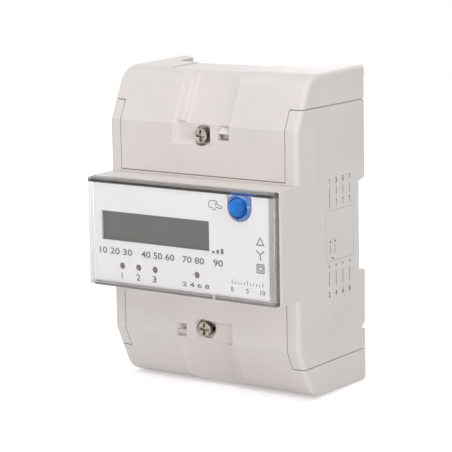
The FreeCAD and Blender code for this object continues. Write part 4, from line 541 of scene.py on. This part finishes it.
class PrintSheet:
    """Thin ink shapes in one plane; sizes and places are given in millimetres."""

    def __init__(self, name, place):
        self.name = name
        self.place = place
        self.ink = bmesh.new()
        self.shapes = 0

    def corner(self, point, height):
        return self.ink.verts.new((point[0] * MM, point[1] * MM, height))

    def stroke(self, points, width, closed=False):
        """A closed ribbon of ink along straight runs."""
        edges = mitred([Vector(point) for point in points], width, closed)
        rows = [[self.corner(left, 0.0), self.corner(right, 0.0),
                 self.corner(right, INK_HEIGHT), self.corner(left, INK_HEIGHT)]
                for left, right in edges]
        following = rows[1:] + rows[:1] if closed else rows[1:]
        for here, there in zip(rows, following):
            for side in range(4):
                onward = (side + 1) % 4
                self.ink.faces.new((here[side], there[side], there[onward], here[onward]))
        if not closed:
            self.ink.faces.new(rows[0])
            self.ink.faces.new(reversed(rows[-1]))
        self.shapes += 1

    def patch(self, outline):
        """A filled shape with the given outline."""
        low = [self.corner(point, 0.0) for point in outline]
        high = [self.corner(point, INK_HEIGHT) for point in outline]
        self.ink.faces.new(reversed(low))
        self.ink.faces.new(high)
        for index in range(len(outline)):
            onward = (index + 1) % len(outline)
            self.ink.faces.new((low[index], low[onward], high[onward], high[index]))
        self.shapes += 1

    def dot(self, middle, radius, sides=16):
        turns = [2 * math.pi * step / sides for step in range(sides)]
        self.patch([(middle[0] + radius * math.cos(turn), middle[1] + radius * math.sin(turn))
                    for turn in turns])

    def number(self, digits, left, base, width, height):
        """Plain digits that fill the given box; a lone 1 is a bare bar, so it stays thin."""
        if digits == "1":
            left, width = left + width * LONE_ONE_START, width * LONE_ONE_WIDTH
        letters = bpy.data.curves.new("digits", "FONT")
        letters.body = digits
        letters.extrude = 0.5
        letters.offset = BOLDER
        letters.resolution_u = 3
        carrier = bpy.data.objects.new("digits", letters)
        bpy.context.scene.collection.objects.link(carrier)
        bpy.context.view_layer.update()
        shape = bpy.data.meshes.new_from_object(
            carrier.evaluated_get(bpy.context.evaluated_depsgraph_get()))
        bpy.data.objects.remove(carrier)
        spots = [vertex.co for vertex in shape.vertices]
        low = [min(spot[axis] for spot in spots) for axis in range(3)]
        span = [max(spot[axis] for spot in spots) - low[axis] for axis in range(3)]
        for spot in spots:
            spot.x = (left + (spot.x - low[0]) / span[0] * width) * MM
            spot.y = (base + (spot.y - low[1]) / span[1] * height) * MM
            spot.z = (spot.z - low[2]) / span[2] * INK_HEIGHT
        self.ink.from_mesh(shape)
        bpy.data.meshes.remove(shape)
        self.shapes += 1

    def take(self, mesh, left, base):
        """Adds a mesh that was made flat, such as a row of ticks, at the given place."""
        for vertex in mesh.vertices:
            vertex.co.x += left * MM
            vertex.co.y += base * MM
        self.ink.from_mesh(mesh)
        bpy.data.meshes.remove(mesh)
        self.shapes += 1

    def lay(self, body, finish):
        """Lays the sheet on its surface and lets it ride on a body."""
        bmesh.ops.remove_doubles(self.ink, verts=self.ink.verts, dist=WELD_DISTANCE)
        for vertex in self.ink.verts:
            vertex.co = self.place(*vertex.co)
        bmesh.ops.recalc_face_normals(self.ink, faces=self.ink.faces)
        mesh = bpy.data.meshes.new(self.name)
        self.ink.to_mesh(mesh)
        self.ink.free()
        mesh.materials.append(FINISHES[finish].material)
        piece = bpy.data.objects.new(self.name, mesh)
        bpy.context.scene.collection.objects.link(piece)
        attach(piece, body)
        print(self.name, "has", self.shapes, "shapes and", len(mesh.polygons), "faces")


# %% [markdown]
# ## Rows that repeat
# Ticks of a scale and the parallel lines of a diagram are one bar, repeated at an even step, with
# every few bars a longer one. That is what Geometry Nodes are for: a line of points, a bar on
# each, and the size of each bar worked out from its number. The node tree has an input for every
# size, so both prints use the same tree.


# %% A node tree for rows of bars
def new_tree(name, inputs):
    """An empty geometry tree with named inputs, and its input and output nodes."""
    tree = bpy.data.node_groups.new(name, "GeometryNodeTree")
    for title, kind in inputs:
        tree.interface.new_socket(name=title, in_out="INPUT", socket_type=kind)
    tree.interface.new_socket(name="Geometry", in_out="OUTPUT", socket_type="NodeSocketGeometry")
    return tree, tree.nodes.new("NodeGroupInput"), tree.nodes.new("NodeGroupOutput")


def tree_node(tree, kind, settings=None, sockets=None):
    """Adds a node with its settings, then the values or links of its sockets."""
    made = tree.nodes.new(kind)
    for key, value in (settings or {}).items():
        setattr(made, key, value)
    for key, value in (sockets or {}).items():
        if isinstance(value, bpy.types.NodeSocket):
            tree.links.new(value, made.inputs[key])
        else:
            made.inputs[key].default_value = value
    return made


def bar_tree():
    tree, given, result = new_tree("row_of_bars", [
        ("Count", "NodeSocketInt"), ("Step", "NodeSocketFloat"), ("Width", "NodeSocketFloat"),
        ("Height", "NodeSocketFloat"), ("Long Height", "NodeSocketFloat"),
        ("Long Every", "NodeSocketInt"), ("Thickness", "NodeSocketFloat"),
        ("Finish", "NodeSocketMaterial")])
    size = given.outputs
    step = tree_node(tree, "ShaderNodeCombineXYZ", {}, {0: size["Step"]})
    line = tree_node(tree, "GeometryNodeMeshLine", {"mode": "OFFSET"},
                     {"Count": size["Count"], "Offset": step.outputs[0]})
    number = tree_node(tree, "GeometryNodeInputIndex")
    left_over = tree_node(tree, "ShaderNodeMath", {"operation": "MODULO"},
                          {0: number.outputs[0], 1: size["Long Every"]})
    is_long = tree_node(tree, "ShaderNodeMath", {"operation": "LESS_THAN"},
                        {0: left_over.outputs[0], 1: 0.5})
    growth = tree_node(tree, "ShaderNodeMath", {"operation": "SUBTRACT"},
                       {0: size["Long Height"], 1: size["Height"]})
    tall = tree_node(tree, "ShaderNodeMath", {"operation": "MULTIPLY_ADD"},
                     {0: is_long.outputs[0], 1: growth.outputs[0], 2: size["Height"]})
    scale = tree_node(tree, "ShaderNodeCombineXYZ", {},
                      {0: size["Width"], 1: tall.outputs[0], 2: size["Thickness"]})
    bar = tree_node(tree, "GeometryNodeMeshCube", {}, {"Size": (1.0, 1.0, 1.0)})
    stood = tree_node(tree, "GeometryNodeTransform", {},
                      {"Geometry": bar.outputs[0], "Translation": (0.0, 0.5, 0.5)})
    placed = tree_node(tree, "GeometryNodeInstanceOnPoints", {}, {
        "Points": line.outputs[0], "Instance": stood.outputs[0], "Scale": scale.outputs[0]})
    real = tree_node(tree, "GeometryNodeRealizeInstances", {}, {0: placed.outputs[0]})
    painted = tree_node(tree, "GeometryNodeSetMaterial", {},
                        {"Geometry": real.outputs[0], "Material": size["Finish"]})
    tree.links.new(painted.outputs[0], result.inputs[0])
    return tree


def grown(tree, values):
    """The plain mesh that a geometry tree makes from the given inputs."""
    carrier = bpy.data.objects.new("carrier", bpy.data.meshes.new("carrier"))
    bpy.context.scene.collection.objects.link(carrier)
    modifier = carrier.modifiers.new("tree", "NODES")
    modifier.node_group = tree
    for item in tree.interface.items_tree:
        if item.item_type == "SOCKET" and item.name in values:
            modifier[item.identifier] = values[item.name]
    bpy.context.view_layer.update()
    mesh = bpy.data.meshes.new_from_object(
        carrier.evaluated_get(bpy.context.evaluated_depsgraph_get()))
    carrier.modifiers.remove(modifier)
    bpy.data.objects.remove(carrier)
    return mesh


BARS = bar_tree()


def bars(count, step, width, height, long_height=None, long_every=1):
    """A row of upright bars in millimetres, with every few bars a long one."""
    return grown(BARS, {
        "Count": count, "Step": step * MM, "Width": width * MM, "Height": height * MM,
        "Long Height": (long_height or height) * MM, "Long Every": long_every,
        "Thickness": INK_HEIGHT, "Finish": FINISHES["print_ink"].material})


print("bar tree:", len(BARS.nodes), "nodes")

# %% [markdown]
# ## The label
# The label tells which lamp is which and where to press. It carries plain numbers, a small scale,
# and a few simple signs: a hand that points at the button, three rising bars, a triangle, a star
# of three arms and a square in a square. Its plane is the front of the label plate.

# %% Numbers on the label
def on_label(across, upwards, height):
    """A point of the sheet on the front of the label plate."""
    return Vector((across, label_low[1] - height, upwards))


NUMBERS = [  # digits, left, base, width and height
    ("1", -29.1, -18.1, 1.9, 2.6), ("2", -21.1, -18.1, 1.9, 2.6), ("3", -13.3, -18.1, 1.9, 2.6),
    ("10 20 30", -39.0, -8.7, 16.1, 2.6), ("40 50 60", -18.5, -8.7, 15.9, 2.6),
    ("70 80", 1.2, -8.7, 10.2, 2.6), ("90", 15.7, -8.7, 4.4, 2.6),
    ("2 4 6 8", 1.0, -17.9, 12.6, 1.8),
]
label_print = PrintSheet("label_print", on_label)
for digits, left, base, width, height in NUMBERS:
    label_print.number(digits, left, base, width, height)
print("label:", label_print.shapes, "numbers, on a plate",
      round((label_high[0] - label_low[0]) / MM, 1), "mm wide")

# %% [markdown]
# ## Signs on the label
# Each sign is a few strokes. The three beside the right edge stand under each other on one line,
# and the hand is drawn in a box of its own, with its points given as shares of that box, so that
# it can be moved or stretched as a whole.

# %% Signs on the label
LINE = 0.44
BAR_LEFT, BAR_BASE, BAR_STEP, BAR_WIDTH = 15.2, -3.8, 2.0, 1.2
BAR_HEIGHTS = (0.9, 1.5, 2.1)
for step, tall in enumerate(BAR_HEIGHTS):
    left, right = BAR_LEFT + BAR_STEP * step, BAR_LEFT + BAR_STEP * step + BAR_WIDTH
    label_print.patch([(left, BAR_BASE), (right, BAR_BASE), (right, BAR_BASE + tall),
                       (left, BAR_BASE + tall)])

SIGN_X, TRIANGLE_Z, STAR_Z, SQUARE_Z = 37.1, 1.3, -2.3, -7.6
TRIANGLE_HALF, TRIANGLE_TALL = 1.6, 2.8
STAR_ARMS, STAR_DOT = ((-1.45, 1.25), (1.45, 1.25), (0.0, -1.75)), 0.36
SQUARE_HALVES = (1.55, 0.8)
label_print.stroke([(SIGN_X - TRIANGLE_HALF, TRIANGLE_Z), (SIGN_X + TRIANGLE_HALF, TRIANGLE_Z),
                    (SIGN_X, TRIANGLE_Z + TRIANGLE_TALL)], LINE, closed=True)
for reach_x, reach_z in STAR_ARMS:
    tip = (SIGN_X + reach_x, STAR_Z + reach_z)
    label_print.stroke([(SIGN_X, STAR_Z), tip], LINE)
    label_print.dot(tip, STAR_DOT)
for half in SQUARE_HALVES:
    corners = [(-half, -half), (half, -half), (half, half), (-half, half)]
    label_print.stroke([(SIGN_X + x, SQUARE_Z + z) for x, z in corners], LINE, closed=True)

HAND_LEFT, HAND_LOW, HAND_WIDE, HAND_TALL, HAND_LINE = 13.9, 12.7, 6.1, 3.7, 0.34
HAND = [(0.02, 0.42), (0.03, 0.78), (0.18, 0.97), (0.50, 1.0), (0.66, 0.86), (0.60, 0.70),
        (0.98, 0.42), (0.97, 0.26), (0.84, 0.22), (0.58, 0.36), (0.51, 0.06), (0.38, 0.03),
        (0.29, 0.25), (0.10, 0.28)]
KNUCKLES = [[(0.60, 0.70), (0.44, 0.74)], [(0.58, 0.53), (0.47, 0.57)]]
for run in [HAND] + KNUCKLES:
    label_print.stroke([(HAND_LEFT + x * HAND_WIDE, HAND_LOW + z * HAND_TALL) for x, z in run],
                       HAND_LINE, closed=run is HAND)
print("label:", label_print.shapes, "shapes with the signs")

# %% [markdown]
# ## A scale from 0 to 10
# The scale is one row of the bar tree, with every fifth tick a long one. Each long tick has its
# number centred beneath it.

# %% The scale on the label
SCALE_LEFT, SCALE_Z, TICKS, TICK_STEP, LONG_EVERY = 24.2, -14.6, 11, 1.38, 5
TICK_WIDTH, SHORT_TICK, LONG_TICK = 0.3, 1.0, 1.7
SCALE_NUMBERS, NUMBER_Z, NUMBER_TALL = ((0, 1.2), (5, 1.2), (10, 2.2)), -17.6, 1.9
ticks = bars(TICKS, TICK_STEP, TICK_WIDTH, SHORT_TICK, LONG_TICK, LONG_EVERY)
label_print.take(ticks, SCALE_LEFT, SCALE_Z)
for tick, width in SCALE_NUMBERS:
    left = SCALE_LEFT + tick * TICK_STEP - width / 2
    label_print.number(str(tick), left, NUMBER_Z, width, NUMBER_TALL)
label_print.lay("case", "print_ink")

# %% [markdown]
# ## The side
# On the right side a wiring diagram is printed in grey: the meter as a box, four lines that enter
# it from above and four that leave it below, two short ones for the pulse terminals, and a slanting
# one below them. The box is so faint that it gets a sheet and an ink of its own.

# %% Print on the right side
case_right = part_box("front_housing")[1][0]
rear_plane = cad_box[1][1]


def on_side(along, upwards, height):
    """A point of the sheet on the case's right side; along is negative towards the front."""
    return Vector((case_right + height, rear_plane + along, upwards))


LINES, LINE_WIDTH, WIDE_LINE, DOT_RADIUS = 4, 0.3, 0.34, 0.45
ABOVE_FIRST, ABOVE_STEP, ABOVE_BASE, ABOVE_LENGTH = -25.6, 4.83, 14.9, 3.4
BELOW_FIRST, BELOW_STEP, BELOW_BASE, BELOW_LENGTH = -26.2, 4.93, -20.3, 5.6
NUMBERS_ABOVE, NUMBERS_BELOW, NUMBER_WIDE, NUMBER_HIGH = 19.6, -24.4, 1.4, 2.1
DOTS_ABOVE, DOTS_BELOW = 12.9, -12.4
FIRST_LINE_END, SHORT_LINE = 10.0, (12.4, 10.6)
PULSE_LINES, PULSE_LINE, PULSE_DOTS, PULSE_RADIUS = (-25.3, -22.0), (-4.2, -7.6), -2.9, 0.5
SLANT, SLANT_WIDTH = [(-24.4, -9.0), (-22.9, -9.9)], 0.5

diagram = PrintSheet("side_diagram", on_side)
diagram.take(bars(LINES, ABOVE_STEP, WIDE_LINE, ABOVE_LENGTH), ABOVE_FIRST, ABOVE_BASE)
diagram.take(bars(LINES, BELOW_STEP, WIDE_LINE, BELOW_LENGTH), BELOW_FIRST, BELOW_BASE)
for line in range(LINES):
    above, below = ABOVE_FIRST + ABOVE_STEP * line, BELOW_FIRST + BELOW_STEP * line
    for count, middle, base in ((2 * line + 1, above, NUMBERS_ABOVE),
                                (2 * line + 2, below, NUMBERS_BELOW)):
        diagram.number(str(count), middle - NUMBER_WIDE / 2, base, NUMBER_WIDE, NUMBER_HIGH)
    diagram.dot((below, DOTS_BELOW), DOT_RADIUS)
    if line == 0:
        diagram.stroke([(above, ABOVE_BASE), (above, FIRST_LINE_END)], LINE_WIDTH)
    else:
        diagram.dot((above, DOTS_ABOVE), DOT_RADIUS)
        diagram.stroke([(above, level) for level in SHORT_LINE], LINE_WIDTH)
for along in PULSE_LINES:
    diagram.stroke([(along, level) for level in PULSE_LINE], LINE_WIDTH)
    diagram.dot((along, PULSE_DOTS), PULSE_RADIUS)
diagram.stroke(SLANT, SLANT_WIDTH)
diagram.lay("case", "side_ink")

BOX_FRONT, BOX_BACK, BOX_LOW, BOX_HIGH, BOX_LINE = -28.3, -8.4, -10.5, 9.2, 0.26
diagram_box = PrintSheet("side_diagram_box", on_side)
diagram_box.stroke([(BOX_FRONT, BOX_LOW), (BOX_BACK, BOX_LOW), (BOX_BACK, BOX_HIGH),
                    (BOX_FRONT, BOX_HIGH)], BOX_LINE, closed=True)
diagram_box.lay("case", "faint_ink")

# %% [markdown]
# ## The studio
# A pale floor, a white surround and soft lamps all round. Floor and surround look white to the
# camera, in reflections and through glass by their own colour, while the light that falls on the
# object stays at a level where a colour renders about as it is written. Near the object the floor
# glows less, so that it keeps a soft shadow, and further out it runs into the white surround. It
# is 2 m wide and fully white well before its edge, so the edge doesn't show.

# %% Floor and surround
WHITE = (1.0, 1.0, 1.0)
FLOOR_HALF = 1.0
FLOOR_PAINT = (0.86, 0.86, 0.86)
NEAR_GLOW = 0.44
FADE_START, FADE_RATE = 0.22, 2.2
AMBIENT = 0.24


def seen_directly(tree):
    """A factor that is 1 for rays from the camera, and in reflections and refractions."""
    path = tree.nodes.new("ShaderNodeLightPath")
    total = path.outputs["Is Camera Ray"]
    for name in ("Is Glossy Ray", "Is Transmission Ray"):
        most = tree.nodes.new("ShaderNodeMath")
        most.operation = "MAXIMUM"
        tree.links.new(total, most.inputs[0])
        tree.links.new(path.outputs[name], most.inputs[1])
        total = most.outputs[0]
    return total


floor_level = cad_box[0][2]
corners = [(-1, -1), (1, -1), (1, 1), (-1, 1)]
floor_mesh = bpy.data.meshes.new("studio_floor")
floor_mesh.from_pydata([(FLOOR_HALF * x, FLOOR_HALF * y, floor_level) for x, y in corners],
                       [], [(0, 1, 2, 3)])
floor = bpy.data.objects.new("studio_floor", floor_mesh)
bpy.context.scene.collection.objects.link(floor)
paint = Finish("studio_floor")
distance = paint.node("ShaderNodeVectorMath", {"operation": "LENGTH"}, {0: paint.place()},
                      result="Value")
fade = ((distance - FADE_START) * FADE_RATE).capped()
seen = Wire(paint, seen_directly(paint.tree))
glow = paint.node("ShaderNodeEmission", {}, {
    "Color": WHITE, "Strength": seen * (NEAR_GLOW + fade * (1.0 - NEAR_GLOW))})
matte = paint.node("ShaderNodeBsdfDiffuse", {}, {"Color": FLOOR_PAINT})
both = paint.node("ShaderNodeAddShader", {}, {0: matte, 1: glow})
paint.join(paint.output.inputs["Surface"], both)
floor_mesh.materials.append(paint.material)
print("floor:", 2 * FLOOR_HALF, "m wide, at", round(floor_level, 4))

world = bpy.data.worlds.new("studio_surround")
bpy.context.scene.world = world
world.use_nodes = True
tree = world.node_tree
surround = tree.nodes["Background"]
surround.inputs["Color"].default_value = (*WHITE, 1.0)
level = tree.nodes.new("ShaderNodeMath")
level.operation = "MULTIPLY_ADD"
level.inputs[1].default_value = 1.0 - AMBIENT
level.inputs[2].default_value = AMBIENT
tree.links.new(seen_directly(tree), level.inputs[0])
tree.links.new(level.outputs[0], surround.inputs["Strength"])

# %% [markdown]
# ## The lamps
# The photograph is lit by large soft sources, which leave smooth surfaces with hardly a highlight. The levels of
# the lamps were fitted so that the faces of the case, which point in many directions, get the tones that the
# photograph shows. The left side gets little light, which brings out the steps beside the channel of each cover.

# %% Lamps
MIDDLE = (0.0, -0.03, 0.0)
LAMPS = [  # name, place, width and height in metres, and watts
    ("side_lamp", (0.95, -0.55, 0.30), (0.7, 0.9), 4.4),
    ("top_lamp", (0.05, -0.10, 1.10), (0.9, 0.6), 5.0),
    ("upper_front_lamp", (0.0, -0.75, 0.95), (1.0, 0.6), 2.8),
    ("front_lamp", (0.2, -1.1, -0.02), (1.2, 0.1), 2.7),
    ("left_lamp", (-1.1, -0.1, 0.3), (0.7, 0.9), 1.6),
    ("rear_lamp", (-0.3, 1.2, 0.4), (0.9, 0.9), 4.5),
]


def soft_lamp(name, position, size, watts):
    """A rectangular lamp that faces the middle of the object."""
    light = bpy.data.lights.new(name, "AREA")
    light.shape = "RECTANGLE"
    light.size, light.size_y = size
    light.energy = watts
    lamp = bpy.data.objects.new(name, light)
    bpy.context.scene.collection.objects.link(lamp)
    lamp.location = position
    lamp.rotation_euler = (Vector(MIDDLE) - Vector(position)).to_track_quat("-Z", "Y").to_euler()


for name, position, size, watts in LAMPS:
    soft_lamp(name, position, size, watts)
    print("lamp:", name, watts, "W")

# %% [markdown]
# ## The camera
# The photograph was taken from the right and a little above with a long lens. The angles and the
# distance were found by fitting a camera to about sixty corners of the object. The camera is set
# back from a point in the middle of the object along its own axis, then shifted a little sideways
# and rolled, so each number says one thing about the view.

# %% Camera
AZIMUTH = math.radians(35.25)
ELEVATION = math.radians(10.20)
ROLL = math.radians(-1.01)
DISTANCE = 779.9 * MM
AIM = Vector((0.0, -25.37, 0.0)) * MM
ACROSS = -1.226 * MM
UPWARDS = 0.069 * MM
LENS_MM = 157.85
SENSOR_MM = 36.0

back = Vector((math.sin(AZIMUTH) * math.cos(ELEVATION), -math.cos(AZIMUTH) * math.cos(ELEVATION),
               math.sin(ELEVATION)))
right = (-back).cross(Vector((0.0, 0.0, 1.0))).normalized()
up = right.cross(-back)
camera_data = bpy.data.cameras.new("camera")
camera_data.lens = LENS_MM
camera_data.sensor_width = SENSOR_MM
camera = bpy.data.objects.new("camera", camera_data)
bpy.context.scene.collection.objects.link(camera)
rolled_right = right * math.cos(ROLL) + up * math.sin(ROLL)
rolled_up = up * math.cos(ROLL) - right * math.sin(ROLL)
position = AIM + right * ACROSS + up * UPWARDS + back * DISTANCE
turn = Matrix((rolled_right, rolled_up, back)).transposed().to_4x4()
camera.matrix_world = Matrix.Translation(position) @ turn
bpy.context.scene.camera = camera
bpy.context.scene.view_settings.view_transform = "Standard"
print("camera at", [round(value, 4) for value in position])
